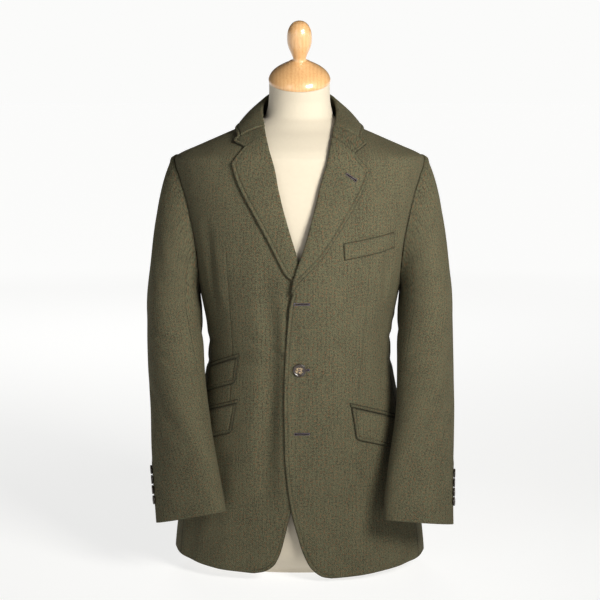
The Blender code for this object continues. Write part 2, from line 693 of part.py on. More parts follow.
def collar_row(side, station):
    """Points across the collar: up the stand, over the crease and down the fall."""
    crease = collar_place(side, station)
    seam_angle = float(COLLAR.at("seam", station))
    places = [np.array(n) for n in at(side * seam_angle, STAND_LINE.at("height", seam_angle))]
    root = body(*places) + normals(body, *places) * (CLOTH / 2 + SEAM + STAND_FOOT)
    edge_place = at(side * COLLAR.at("edge_angle", station), COLLAR.at("edge_height", station))
    edge = moved_out(body, CLOTH + TURNED_CLEAR)(*(np.array(n) for n in edge_place))
    if station == 0:
        along = np.array([1.0, 0.0, 0.0])
    else:
        step = min(0.2, COLLAR.key[-1] - station + 0.01)
        along = side * (collar_place(side, station + step) - collar_place(side, station - 0.2))
    fall = unit(edge - crease)
    out = unit(np.cross(along, fall))
    over = crease + 2 * ROLL * out
    row = [root, crease]
    for t in (0.25, 0.5, 0.75):
        row.append(crease + ROLL * out * (1 - math.cos(math.pi * t))
                   - ROLL * fall * math.sin(math.pi * t))
    row.append(over)
    for w in (0.25, 0.5, 0.75, 1.0):
        bulge = 0.0042 * math.sin(math.pi * w) * (1 - 0.35 * station / 8)
        row.append(over + (edge - over) * w + out * bulge)
    return row


def collar_front(side, share):
    """A row of the front end, where the crease runs on down the roll line; share 1 is the gorge."""
    x, z = COLLAR_POINT[side]

    def out_to(x, z):
        return np.array([side * (x - float(ROLL_LINES[side].at("x", z))), z])

    top = np.array([0.0, COLLAR_FRONT_TOP])
    tip = out_to(x - side * 0.0035, z + 0.0075)
    first = [top * (1 - w) + tip * w for w in (0, 0.25, 0.5, 0.75, 1)]
    last = [np.array(place) for place in gorge_line(side)] + [out_to(x, z)]
    height = COLLAR_FRONT_TOP * (1 - share) + GORGE_TOP[side] * share
    folds = [np.array([-math.pi * ROLL * t, height]) for t in (0.6, 0.5, 0.375, 0.25, 0.125)]
    across = [a * (1 - share) + b * share for a, b in zip(first, last)]
    return [lapel(side)(place[0], place[1]) for place in folds + across]


def collar(name):
    """The collar in one piece from point to point."""
    stations = [0.5 * i for i in range(16)]
    halves = {}
    for side in (LEFT, RIGHT):
        halves[side] = [collar_row(side, s) for s in stations]
        halves[side] += [collar_front(side, share) for share in (0, 0.25, 0.5, 0.75, 1)]
    rows = halves[RIGHT][::-1] + halves[LEFT][1:]
    points, faces = woven(rows)
    out = point_normals(points, faces)
    walled(name, points, faces, out, CLOTH, gap=SEAM)


# ------------------------------------------------------------------ sleeves
def arm_section(side, turn, height):
    """A point of the sleeve below the armhole."""
    a = np.radians(turn)
    swing = np.radians(SLEEVE.at("turn", height))
    thick, long = SLEEVE.at("thick", height), SLEEVE.at("long", height)
    flat = thick * np.cos(a) * (1 + SLEEVE_SQUARE * np.sin(a) ** 2)
    deep = long * np.sin(a) * (1 + SLEEVE_SQUARE * np.cos(a) ** 2)
    out = flat * np.cos(swing) - deep * np.sin(swing)
    ahead = flat * np.sin(swing) + deep * np.cos(swing)
    label = "left" if side == LEFT else "right"
    x = SLEEVE.at("x_" + label, height) + out
    y = -SLEEVE.at("forward", height) - ahead
    z = height - SLEEVE.at("rise_in_" + label, height) * out + SLEEVE.at("rise_front", height) * ahead
    return np.stack(np.broadcast_arrays(side * x, y, z), -1)


def armhole_frame(turn):
    """On the left armhole: its point, the torso's normal, and the way into the hole."""
    def place(t):
        return at(float(ARMHOLE.at("angle", t % 360)), float(ARMHOLE.at("height", t % 360)))
    u, v = place(turn)
    point = body(np.array(u), np.array(v))
    out = normals(body, np.array(u), np.array(v))
    before, after = (body(*map(np.array, place(turn + d))) for d in (-4, 4))
    into = unit(np.cross(out, after - before))
    if into @ (np.array([0.19, 0.0, 0.62]) - point) < 0:
        into = -into
    return point, out, into


def sleeve_start(turn):
    """Where the sleeve's wall begins at the armhole, and its direction and normal there."""
    point, out, into = armhole_frame(turn)
    leave = turn % 360
    way = unit(np.array([ARMHOLE.at("out", leave), -ARMHOLE.at("forward", leave),
                         -ARMHOLE.at("down", leave)]))
    bend = math.atan2(way @ out, way @ into)
    half = CLOTH / 2
    if bend < math.pi / 2:
        past = half * math.sin(max(bend, 0))
        above = (half + SEAM) * float(ease((bend - math.radians(60)) / math.radians(30)))
    else:
        past = (half + SEAM) * float(ease((math.radians(120) - bend) / math.radians(30)))
        above = half + SEAM + half * abs(math.cos(bend))
    start = point + into * past + out * above
    way = into * math.cos(bend) + out * math.sin(bend)
    normal = out * math.cos(bend) - into * math.sin(bend)
    return start, way, normal


def sleeve_row(side, turn):
    """A line of points down the sleeve, from the armhole to the cuff, and its first normal."""
    start, way, normal = sleeve_start(turn)
    mirror = np.array([side, 1, 1])
    start, way, normal = start * mirror, way * mirror, normal * mirror
    end = arm_section(side, turn, BICEP)
    lower = arm_section(side, turn, BICEP - 0.010)
    pull_in = start + way * SLEEVE_HEAD.at("start", turn % 360)
    pull_out = end + unit(end - lower) * SLEEVE_HEAD.at("end", turn % 360)
    line = []
    for i in range(HEAD_ROWS):
        t = i / HEAD_ROWS
        line.append(start * (1 - t) ** 3 + pull_in * 3 * t * (1 - t) ** 2
                    + pull_out * 3 * t * t * (1 - t) + end * t ** 3)
    for i in range(ARM_ROWS + 1):
        line.append(arm_section(side, turn, BICEP + (CUFF[side] - BICEP) * i / ARM_ROWS))
    return line, normal


def sleeve_piece(side, name, first, last):
    """A part of a sleeve between two of its seams."""
    turns = list(range(first, last + 1, ARM_STEP))
    if side == LEFT:
        turns.reverse()
    made = [sleeve_row(side, t) for t in turns]
    rows = [[line[i] for line, _ in made] for i in range(len(made[0][0]))]
    points, faces = woven(rows[::-1])
    out = point_normals(points, faces)
    out[-len(turns):] = [normal for _, normal in made]
    shared = sleeve_seam_normals(side, (first, last), turns, len(rows))
    for index, normal in shared.items():
        out[index] = normal
    walled(name, points, faces, out, CLOTH)


def sleeve_seam_normals(side, ends, turns, rows):
    """Normals along both seams, worked out alike for the two pieces that meet there."""
    shared = {}
    for turn in ends:
        before, line, after = (sleeve_row(side, t)[0] for t in (turn - ARM_STEP, turn, turn + ARM_STEP))
        column = turns.index(turn)
        for i in range(1, rows):
            along = line[i - 1] - line[min(i + 1, rows - 1)]
            across = after[i] - before[i]
            shared[(rows - 1 - i) * len(turns) + column] = -side * unit(np.cross(across, along))
    return shared


# ------------------------------------------------------------------ pockets
POCKETS = {
    # name: side, x and height of the front top corner, length, drop, jet
    "flap_hip_left": (LEFT, 0.0895, 0.3110, 0.138, 0.058),
    "flap_hip_right": (RIGHT, -0.1080, 0.3165, 0.120, 0.053),
    "flap_ticket_right": (RIGHT, -0.1050, 0.3975, 0.090, 0.046),
}
POCKET_SLANT = 0.30     # fall of a pocket mouth for each metre that it runs back
FLAP_CORNER = 0.009     # radius of a flap's front lower corner
JET_TALL, JET_GAP = 0.0075, 0.0002     # height of a jet, and its distance from the flap
JET_REACH = 0.002       # how far a jet runs past the front corner of its flap


def corner_arc(centre, radius, first, last, count=4):
    """Places on a quarter circle."""
    angles = np.radians(np.linspace(first, last, count + 1))
    return [(centre[0] + radius * math.cos(a), centre[1] + radius * math.sin(a)) for a in angles]


def pocket(name, side, x, height, long, drop):
    """A flap with one rounded corner, and the jet over it."""
    u0, v0 = (float(n) for n in on_front(LEFT, abs(x), height))
    u1, v1 = u0 + long, v0 - POCKET_SLANT * long
    bottom = v0 - drop
    tilt = math.degrees(math.atan(POCKET_SLANT))
    front_bottom = (u0 + 0.002, bottom)
    arc_centre = (front_bottom[0] + FLAP_CORNER, front_bottom[1] + FLAP_CORNER * 0.75)
    arc = corner_arc(arc_centre, FLAP_CORNER, 180, 270 - tilt)
    back_bottom = (u1 - 0.002, arc[-1][1] - POCKET_SLANT * (u1 - arc[-1][0]))
    outline = chain(straight((u0, v0), arc[0], TRIM_STEP), arc,
                    straight(arc[-1], back_bottom, TRIM_STEP),
                    straight(back_bottom, (u1, v1), TRIM_STEP),
                    straight((u1, v1), (u0, v0), TRIM_STEP))
    low = v0 + JET_GAP + POCKET_SLANT * JET_REACH
    jet = chain(straight((u0 - JET_REACH, low), (u1, v1 + JET_GAP), TRIM_STEP),
                straight((u1, v1 + JET_GAP + JET_TALL), (u0 - JET_REACH, low + JET_TALL), TRIM_STEP))
    over = moved_out(FRONT[side], CLOTH / 2 + LAID + TRIM / 2)
    for piece, line in ((name, outline), (name.replace("flap", "jet"), jet)):
        if side == RIGHT:
            line = mirrored(line)[::-1]
        panel(piece, line, over, TRIM, TRIM_STEP)


WELT_CORNERS = ((0.0745, 0.6000), (0.0760, 0.5705), (0.1640, 0.5875), (0.1630, 0.6165))


def breast_welt(name):
    """The welt of the breast pocket, which climbs towards the arm."""
    corners = [tuple(float(n) for n in on_front(LEFT, x, z)) for x, z in WELT_CORNERS]
    sides = [straight(a, b, TRIM_STEP) for a, b in zip(corners, corners[1:] + corners[:1])]
    panel(name, chain(*sides), moved_out(FRONT[LEFT], CLOTH / 2 + LAID + TRIM / 2), TRIM, TRIM_STEP)


# ------------------------------------------------------------------ buttons
# Outer profile of a button, from the middle of its underside over the rim to its dished face:
# shares of its radius, and heights in metres.
BUTTON_PROFILE = ((0.58, 0.0000), (0.86, 0.0000), (1.00, 0.0012), (1.00, 0.0024),
                  (0.86, 0.0036), (0.70, 0.0034), (0.58, 0.0024))
HOLE_RADIUS, HOLE_APART, HOLE_SIDES = 0.0011, 0.0021, 8
CUFF_BUTTON_FLATTER = 0.8       # share of the height that a cuff button has


def facing(out):
    """The turn that brings +Z to the direction out."""
    return np.array(Vector((0, 0, 1)).rotation_difference(Vector(out)).to_matrix())


def turned(name, profile, segments, stuff, place, axis):
    """A shape turned round its axis from a profile of (radius, length) pairs, poles included."""
    angles = np.linspace(0, 2 * math.pi, segments, endpoint=False)
    points = [(0, 0, profile[0][1])]
    for radius, high in profile[1:-1]:
        points += [(radius * math.cos(a), radius * math.sin(a), high) for a in angles]
    points.append((0, 0, profile[-1][1]))
    rings = len(profile) - 2
    faces = [(0, 1 + (j + 1) % segments, 1 + j) for j in range(segments)]
    for i in range(rings - 1):
        a, b = 1 + i * segments, 1 + (i + 1) * segments
        faces += [(a + j, a + (j + 1) % segments, b + (j + 1) % segments, b + j)
                  for j in range(segments)]
    last, top = 1 + (rings - 1) * segments, len(points) - 1
    faces += [(last + j, last + (j + 1) % segments, top) for j in range(segments)]
    solid(name, np.array(points) @ facing(axis).T + np.asarray(place), faces, stuff, 35)


def ring_of(radius, count, middle=(0.0, 0.0)):
    angles = np.linspace(0, 2 * math.pi, count, endpoint=False)
    return [(middle[0] + radius * math.cos(a), middle[1] + radius * math.sin(a)) for a in angles]


def button(name, across, point, out, segments, scale=1.0, holes=0):
    """A horn button that faces along out, just clear of the cloth at point."""
    radius = across / 2
    places = ring_of(BUTTON_PROFILE[0][0] * radius, segments)
    turns = [math.pi / 4 + math.pi / 2 * i for i in range(holes)]
    drilled = [ring_of(HOLE_RADIUS, HOLE_SIDES, (HOLE_APART * math.cos(a), HOLE_APART * math.sin(a)))
               for a in turns]
    for hole in drilled:
        places += hole
    loops = [list(range(segments))]
    for i in range(holes):
        first = segments + HOLE_SIDES * i
        loops.append(list(range(first, first + HOLE_SIDES)))
    edges = [(loop[i], loop[(i + 1) % len(loop)]) for loop in loops[1:] for i in range(len(loop))]
    made = delaunay_2d_cdt([Vector(p) for p in places], edges, [loops[0]], 1, 1e-9)
    centres = [np.mean([places[i] for i in f], axis=0) for f in made[2]]
    disc = [tuple(f) for f, c in zip(made[2], centres) if not any(inside(h, c) for h in drilled)]
    disc = [f if np.cross(np.subtract(places[f[1]], places[f[0]]),
                          np.subtract(places[f[2]], places[f[0]])) > 0 else f[::-1] for f in disc]
    count, face_high = len(places), BUTTON_PROFILE[-1][1] * scale
    points = [(x, y, 0.0) for x, y in places] + [(x, y, face_high) for x, y in places]
    faces = [f[::-1] for f in disc] + [tuple(i + count for i in f) for f in disc]
    for loop in loops[1:]:
        faces += [(a, a + count, b + count, b) for a, b in zip(loop, loop[1:] + loop[:1])]
    rings = [list(range(segments))]
    for share, high in BUTTON_PROFILE[1:-1]:
        rings.append(list(range(len(points), len(points) + segments)))
        points += [(x, y, high * scale) for x, y in ring_of(share * radius, segments)]
    rings.append([i + count for i in range(segments)])
    for lower, upper in zip(rings, rings[1:]):
        faces += [(lower[j], lower[(j + 1) % segments], upper[(j + 1) % segments], upper[j])
                  for j in range(segments)]
    foot = np.asarray(point) + np.asarray(out) * (CLOTH / 2 + BUTTON_CLEAR)
    solid(name, np.array(points) @ facing(out).T + foot, faces, "horn", 35)


def front_button(name):
    """The one fastened button, on the left front."""
    u, v = (np.array(n) for n in on_front(LEFT, 0.0, BUTTON_HEIGHT))
    button(name, FRONT_BUTTON, FRONT[LEFT](u, v), normals(FRONT[LEFT], u, v), 24, holes=4)


def cuff_buttons(side, name):
    """Four buttons up the hind seam of a sleeve."""
    for i, height in enumerate(CUFF_BUTTON_HEIGHTS[side]):
        place = arm_section(side, CUFF_BUTTON_TURN, height)
        before, after = (arm_section(side, CUFF_BUTTON_TURN + d, height) for d in (-3, 3))
        below, above = (arm_section(side, CUFF_BUTTON_TURN, height + d) for d in (-0.01, 0.01))
        out = unit(np.cross(above - below, after - before)) * side
        button(f"{name}_{i + 1}", CUFF_BUTTON, place, out, 14, CUFF_BUTTON_FLATTER)


# ------------------------------------------------------------------ the dress form
FORM_COLUMNS = 32


def form_ring(height):
    """A level ring of the form's torso."""
    angles = np.linspace(-180, 180, FORM_COLUMNS, endpoint=False)
    u, v = np.radians(angles) * ROUND, at(0, height)[1]
    v = np.full_like(u, v)
    inside_by = CLOTH / 2 + FORM_EASE.at("ease", height)
    return body(u, v) - normals(body, u, v) * inside_by


def form_body(name):
    """The limbless torso and neck, whole and smooth, with a flat foot."""
    rings = [form_ring(h) for h in FORM_HEIGHTS]
    rings[0][:, 2] = 0.0
    angles = np.radians(np.linspace(-180, 180, FORM_COLUMNS, endpoint=False))
    for h in FORM_NECK.key:
        radius, middle = FORM_NECK.at("radius", h), FORM_NECK.at("middle", h)
        lean = math.tan(math.radians(CAP_TILT)) * ease((h - LEAN_FROM) / LEAN_OVER)
        y = middle - FORM_NECK.at("deep", h) * np.cos(angles)
        z = h + lean * (y - middle) + FORM_NECK.at("lift", h) * np.maximum(0, -np.cos(angles)) ** 2
        rings.append(np.stack([radius * np.sin(angles), y, z], 1))
    points = [tuple(p) for ring in rings for p in ring]
    n = FORM_COLUMNS
    faces = [(i * n + j, i * n + (j + 1) % n, (i + 1) * n + (j + 1) % n, (i + 1) * n + j)
             for i in range(len(rings) - 1) for j in range(n)]
    faces.append(tuple(reversed(range(n))))
    faces.append(tuple(range((len(rings) - 1) * n, len(rings) * n)))
    solid(name, points, faces, "jersey")


def form_cap(name):
    """The turned neck cap with its knob."""
    profile = [(0.0, 0.0)] + list(CAP_PROFILE)
    tilt = math.radians(CAP_TILT)
    turned(name, profile, 28, "beech", CAP_FOOT, (0, -math.sin(tilt), math.cos(tilt)))


# ------------------------------------------------------------------ the whole
def clear_scene():
    for old in list(bpy.data.objects):
        bpy.data.objects.remove(old, do_unlink=True)


def centre_over_floor():
    """Moves every piece alike, so that the box round them all stands centred on the origin."""
    shown = [o for o in bpy.data.objects if o.type == "MESH"]
    corners = np.array([v.co for o in shown if not o.hide_render for v in o.data.vertices])
    low, high = corners.min(0), corners.max(0)
    shift = Matrix.Translation((-(low[0] + high[0]) / 2, -(low[1] + high[1]) / 2, -low[2]))
    for o in shown:
        o.data.transform(shift)


def main():
    clear_scene()
    front(LEFT, "front_left", LEFT_EDGE)
    front(RIGHT, "front_right", RIGHT_EDGE)
    for side, label in ((LEFT, "left"), (RIGHT, "right")):
        side_body(side, f"side_{label}")
        back(side, f"back_{label}")
        lapel_piece(side, f"lapel_{label}")
        sleeve_piece(side, f"sleeve_top_{label}", HIND_SEAM - 360, FOREARM_SEAM)
        sleeve_piece(side, f"sleeve_under_{label}", FOREARM_SEAM, HIND_SEAM)
        cuff_buttons(side, f"button_cuff_{label}")
    collar("collar")
    for name, sizes in POCKETS.items():
        pocket(name, *sizes)
    breast_welt("welt_breast_left")
    front_button("button_front")
    form_body("form_body")
    form_cap("form_cap")
    centre_over_floor()


main()
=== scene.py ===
"""Tweed hacking jacket on a limbless dress form: the finished surfaces.

Every cut piece of the jacket becomes a fine shell of herringbone tweed with its folds, its seams
and its stitched edges. The form gets its jersey and its varnished neck cap. Lengths are in metres
and angles in degrees unless a name says otherwise. The jacket faces -Y and the wearer's left is +X.
"""
import math
from functools import partial

import bpy
import numpy as np
from bpy.props import FloatProperty, FloatVectorProperty, IntProperty, PointerProperty
from bpy.types import Operator, Panel, PropertyGroup
from mathutils import Euler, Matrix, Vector
from mathutils.geometry import delaunay_2d_cdt
from mathutils.kdtree import KDTree


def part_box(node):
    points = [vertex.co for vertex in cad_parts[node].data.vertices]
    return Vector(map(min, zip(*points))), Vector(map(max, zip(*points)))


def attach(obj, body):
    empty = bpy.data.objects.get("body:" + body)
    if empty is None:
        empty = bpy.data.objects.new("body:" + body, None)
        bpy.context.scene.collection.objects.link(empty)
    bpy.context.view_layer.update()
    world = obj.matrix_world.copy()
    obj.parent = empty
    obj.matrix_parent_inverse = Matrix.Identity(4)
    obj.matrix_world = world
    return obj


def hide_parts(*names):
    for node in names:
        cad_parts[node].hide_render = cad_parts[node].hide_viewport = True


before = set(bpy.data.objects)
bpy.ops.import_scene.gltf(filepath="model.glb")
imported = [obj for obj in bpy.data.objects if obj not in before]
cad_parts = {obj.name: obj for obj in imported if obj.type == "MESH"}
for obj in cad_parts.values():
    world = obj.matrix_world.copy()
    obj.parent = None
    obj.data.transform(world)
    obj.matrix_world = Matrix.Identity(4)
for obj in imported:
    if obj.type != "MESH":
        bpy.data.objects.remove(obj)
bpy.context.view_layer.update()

bl_info = {
    "name": "Tweed Hacking Jacket",
    "version": (1, 0, 0),
    "blender": (4, 5, 0),
    "location": "View3D > Sidebar > Jacket",
    "description": "Sews a tweed hacking jacket and sets it on a dress form",
    "category": "Object",
}

LEFT, RIGHT = 1, -1  # the wearer's sides, which are also the signs of x
SIDE_NAMES = {LEFT: "left", RIGHT: "right"}

# ---- sizes shared with the solids
SEAM = 0.0003  # gap between two sewn pieces
LAID = 0.0006  # clear space under a piece that lies on a panel
BUTTON_CLEAR = 0.0003  # clear space under a button
TURNED_CLEAR = 0.0017  # clear space under a lapel and the fall of the collar
ROUND = 0.165  # mean radius of the torso, which turns an angle into a length
SHOULDER = 0.742  # height of the shoulder tips
SLOPE_STRETCH = 2.2  # length of the shoulder slope for each metre that it rises
SHOULDER_TIP = 0.7425  # height at which the shoulder seam begins
NECK_SEAM = 0.806  # height of the seam under the collar, at the sides and back
SHOULDER_SEAM = 97  # angle of the shoulder seam round the torso
SIDE_SEAMS = (72, 114)  # angles of the two seams of the side body, at the hem
FRONT_OF_ARM, BACK_OF_ARM = 140, 220  # where the side body ends on the armhole
FOREARM_SEAM, HIND_SEAM = 120, 280  # where the two seams of a sleeve run
ROLL = 0.0021  # radius of the fold that a lapel or the collar rolls over
STAND_FOOT = 0.0012  # room for the slanted foot of the collar's stand
BUTTON_HEIGHT = 0.380
CUFF_BUTTON_HEIGHTS = {  # down each sleeve, measured at the middle of its section
    LEFT: (0.193, 0.178, 0.163, 0.148),
    RIGHT: (0.2015, 0.186, 0.1705, 0.155),
}
CUFF_BUTTON_TURN = 293
VENT_TOP, VENT_UNDERLAY = 0.235, 12  # height of the back vent, angle of its hidden layer
FRONT_TOP = 0.788  # height at which a roll line ends on a front
COLLAR_FRONT_TOP = 0.7925  # height at which the collar's crease joins the roll line


class Table:
    """Rows of sizes under named columns; it is read smoothly between two rows."""

    def __init__(self, columns, *rows):
        data = np.array(rows, float)
        self.key = data[:, 0]
        self.column = {name: data[:, i] for i, name in enumerate(columns.split())}
        self.slope = {name: np.gradient(value, self.key) for name, value in self.column.items()}

    def at(self, name, key):
        """The column's value at that key."""
        x, y, m = self.key, self.column[name], self.slope[name]
        key = np.clip(np.asarray(key, float), x[0], x[-1])
        i = np.clip(np.searchsorted(x, key) - 1, 0, len(x) - 2)
        h = x[i + 1] - x[i]
        t = (key - x[i]) / h
        rise = t * t * (3 - 2 * t)
        bend = t * (1 - t)
        return (y[i] * (1 - rise) + y[i + 1] * rise
                + h * bend * ((1 - t) * m[i] - t * m[i + 1]))


TORSO = Table(
    "height width front back square middle lift",
    (0.0, 0.226, 0.128, 0.136, 0.02, 0.004, 0.0),
    (0.06, 0.2207, 0.128, 0.135, 0.02, 0.004, 0.0),
    (0.13, 0.2115, 0.128, 0.133, 0.02, 0.004, 0.0),
    (0.2, 0.2005, 0.127, 0.13, 0.03, 0.003, 0.0),
    (0.27, 0.187, 0.125, 0.126, 0.03, 0.002, 0.0),
    (0.337, 0.171, 0.123, 0.119, 0.04, 0.001, 0.0),
    (0.398, 0.1615, 0.124, 0.114, 0.05, 0.0, 0.0),
    (0.44, 0.164, 0.127, 0.116, 0.06, 0.0, 0.0),
    (0.484, 0.172, 0.131, 0.121, 0.06, 0.0, 0.0),
    (0.53, 0.182, 0.134, 0.126, 0.07, 0.0, 0.0),
    (0.58, 0.1935, 0.135, 0.129, 0.07, 0.001, 0.0),
    (0.63, 0.204, 0.133, 0.13, 0.07, 0.003, 0.0),
    (0.675, 0.212, 0.127, 0.126, 0.06, 0.006, 0.0),
    (0.71, 0.2175, 0.12, 0.119, 0.05, 0.008, 0.0),
    (0.73, 0.22, 0.115, 0.113, 0.05, 0.01, 0.0),
    (0.742, 0.2165, 0.1125, 0.11, 0.05, 0.01, 0.001),
    (0.749, 0.204, 0.11, 0.107, 0.05, 0.011, 0.003),
    (0.757, 0.185, 0.106, 0.102, 0.05, 0.012, 0.006),
    (0.768, 0.1595, 0.098, 0.093, 0.04, 0.014, 0.009),
    (0.781, 0.1295, 0.0865, 0.082, 0.03, 0.016, 0.012),
    (0.793, 0.102, 0.074, 0.071, 0.02, 0.018, 0.015),
    (0.803, 0.083, 0.066, 0.063, 0.0, 0.019, 0.017),
    (0.815, 0.074, 0.058, 0.056, 0.0, 0.02, 0.018),
)
HEM = Table(
    "angle height",
    (-180, 0.024), (-120, 0.032), (-90, 0.032), (-60, 0.0245), (-40, 0.018), (-22, 0.015),
    (0, 0.01), (14, 0.007), (30, 0.01), (50, 0.0165), (75, 0.0225), (90, 0.0255), (120, 0.027),
    (180, 0.024),
)
FRONT_EDGES = {
    LEFT: (
        (-0.012, 0.514), (-0.018, 0.494), (-0.022, 0.451), (-0.025, 0.39), (-0.0268, 0.33),
        (-0.0265, 0.27), (-0.0242, 0.2), (-0.019, 0.155), (-0.0122, 0.116), (-0.004, 0.0865),
        (0.007, 0.0515), (0.022, 0.024), (0.04, 0.0105), (0.056, 0.007),
    ),
    RIGHT: (
        (0.011, 0.515), (0.018, 0.485), (0.0225, 0.44), (0.0245, 0.38), (0.024, 0.32),
        (0.021, 0.27), (0.013, 0.22), (0.002, 0.18), (-0.008, 0.15), (-0.0165, 0.12),
        (-0.0254, 0.0826), (-0.035, 0.049), (-0.045, 0.03), (-0.06, 0.0195), (-0.08, 0.015),
    ),
}
ROLL_LINES = {
    LEFT: Table(
        "height x",
        (0.514, -0.012), (0.54, -0.0065), (0.566, 0.0015), (0.595, 0.0117), (0.623, 0.0196),
        (0.662, 0.03), (0.6975, 0.0385), (0.733, 0.049), (0.7636, 0.0556), (0.794, 0.0622),
    ),
    RIGHT: Table(
        "height x",
        (0.515, 0.011), (0.53, 0.006), (0.56, -0.003), (0.5845, -0.0095), (0.61, -0.0174),
        (0.646, -0.028), (0.687, -0.0383), (0.728, -0.0463), (0.7585, -0.0557), (0.794, -0.064),
    ),
}
LAPEL_EDGES = {
    LEFT: ((0.0, 0.535), (0.0181, 0.5535), (0.0389, 0.5765), (0.0572, 0.602),
           (0.0783, 0.635), (0.0968, 0.666), (0.1115, 0.696), (0.121, 0.7196)),
    RIGHT: ((-0.002, 0.529), (-0.0213, 0.543), (-0.0367, 0.5686), (-0.0577, 0.61),
            (-0.0786, 0.6485), (-0.0997, 0.687), (-0.111, 0.714), (-0.117, 0.734)),
}
NOTCH = {LEFT: (0.095, 0.749), RIGHT: (-0.094, 0.759)}
COLLAR_POINT = {LEFT: (0.115, 0.763), RIGHT: (-0.114, 0.767)}
GORGE_TOP = {LEFT: 0.776, RIGHT: 0.779}  # height at which the gorge meets the roll line
NECK_EDGE = Table("angle height", (36, 0.788), (52, 0.7955), (72, 0.803), (97, 0.806))
STAND_LINE = Table(
    "angle height", (36, 0.794), (52, 0.7995), (72, 0.804), (97, 0.806), (180, 0.806),
)
COLLAR = Table(
    "station seam crease_x crease_y crease_z edge_angle edge_height",
    (0.0, 180, 0.0, 0.079, 0.853, 180.0, 0.787),
    (1.0, 156, 0.031, 0.0725, 0.851, 158.0, 0.786),
    (2.0, 132, 0.0515, 0.056, 0.845, 135.0, 0.785),
    (3.0, 111, 0.0615, 0.037, 0.8365, 115.0, 0.786),
    (4.0, 93, 0.0655, 0.018, 0.827, 96.0, 0.79),
    (5.0, 78, 0.0665, 0.0, 0.8175, 79.0, 0.788),
    (6.0, 64, 0.0658, -0.018, 0.808, 62.0, 0.783),
    (7.0, 51, 0.064, -0.035, 0.7985, 50.0, 0.777),
    (8.0, 40, 0.062, -0.048, 0.79, 43.5, 0.77),
)
ARMHOLE = Table(
    "turn angle height out forward down",
    (-60, 110.5, 0.695, 0.85, -0.3, 0.35),
    (-30, 104.0, 0.728, 0.94, -0.15, 0.3),
    (0, 97.0, 0.7425, 0.97, 0.0, 0.24),
    (30, 82.0, 0.729, 0.94, 0.15, 0.3),
    (60, 71.5, 0.692, 0.88, 0.3, 0.35),
    (90, 66.0, 0.638, 0.85, 0.38, 0.35),
    (120, 66.5, 0.58, 0.8, 0.35, 0.5),
    (150, 75.0, 0.53, 0.6, 0.15, 0.8),
    (180, 91.0, 0.51, 0.35, 0.0, 0.95),
    (210, 106.0, 0.529, 0.6, -0.15, 0.8),
    (240, 114.5, 0.58, 0.8, -0.35, 0.5),
    (270, 115.5, 0.64, 0.85, -0.38, 0.35),
    (300, 110.5, 0.695, 0.85, -0.3, 0.35),
    (330, 104.0, 0.728, 0.94, -0.15, 0.3),
    (360, 97.0, 0.7425, 0.97, 0.0, 0.24),
    (390, 82.0, 0.729, 0.94, 0.15, 0.3),
)
SLEEVE_HEAD = Table(
    "turn start end",
    (-45, 0.031, 0.05), (0, 0.032, 0.042), (45, 0.031, 0.05), (90, 0.03, 0.05),
    (135, 0.016, 0.03), (180, 0.006, 0.01), (225, 0.016, 0.03), (270, 0.03, 0.05),
    (315, 0.031, 0.05), (360, 0.032, 0.042), (405, 0.031, 0.05),
)
SLEEVE = Table(
    "height x_left x_right forward long thick turn rise_in_left rise_in_right rise_front",
    (0.09, 0.2078, 0.1865, 0.126, 0.0665, 0.028, 65, 0.1, 0.2, 0.2),
    (0.13, 0.2082, 0.1905, 0.119, 0.066, 0.029, 63, 0.09, 0.19, 0.19),
    (0.18, 0.2108, 0.1975, 0.107, 0.0655, 0.032, 58, 0.06, 0.12, 0.14),
    (0.24, 0.2165, 0.2055, 0.089, 0.064, 0.037, 50, 0.02, 0.06, 0.08),
    (0.3, 0.222, 0.2115, 0.069, 0.0625, 0.0425, 36, 0.0, 0.02, 0.03),
    (0.36, 0.2235, 0.218, 0.045, 0.064, 0.047, 20, 0.0, 0.0, 0.0),
    (0.42, 0.2238, 0.2215, 0.024, 0.07, 0.0485, 7, 0.0, 0.0, 0.0),
    (0.47, 0.224, 0.2225, 0.011, 0.0755, 0.0475, 0, 0.0, 0.0, 0.0),
)
BICEP = 0.47  # height of the sleeves' first level section
CUFF = {LEFT: 0.11, RIGHT: 0.1185}  # and of the last ones
SLEEVE_SQUARE = 0.06
FORM_EASE = Table(
    "height ease",
    (0.0, 0.06), (0.008, 0.054), (0.022, 0.036), (0.042, 0.021), (0.07, 0.016), (0.12, 0.015),
    (0.24, 0.013), (0.4, 0.008), (0.56, 0.007), (0.66, 0.006), (0.72, 0.0045), (0.749, 0.0031),
    (0.793, 0.0031), (0.815, 0.003),
)
FORM_NECK = Table(
    "height radius deep middle lift",
    (0.811, 0.062, 0.0545, 0.019, 0.018), (0.821, 0.058, 0.0535, 0.0185, 0.015),
    (0.833, 0.0552, 0.053, 0.017, 0.009), (0.85, 0.0538, 0.053, 0.0145, 0.002),
    (0.8733, 0.0535, 0.0535, 0.0105, 0.0),
)
FORM_HEIGHTS = (
    0.0, 0.008, 0.022, 0.042, 0.07, 0.12, 0.18, 0.24, 0.3, 0.35, 0.395, 0.44, 0.49, 0.54, 0.59,
    0.64, 0.685, 0.715, 0.732, 0.742, 0.749, 0.757, 0.768, 0.781, 0.793, 0.803,
)
FORM_ROUND = 0.16  # mean radius of the form, for its jersey
LEAN_FROM, LEAN_OVER = 0.836, 0.03  # where the top of the neck turns parallel to the cap
CAP_TILT = 19.5
CAP_FOOT = (0.0, 0.01, 0.8735)  # middle of the cap's underside
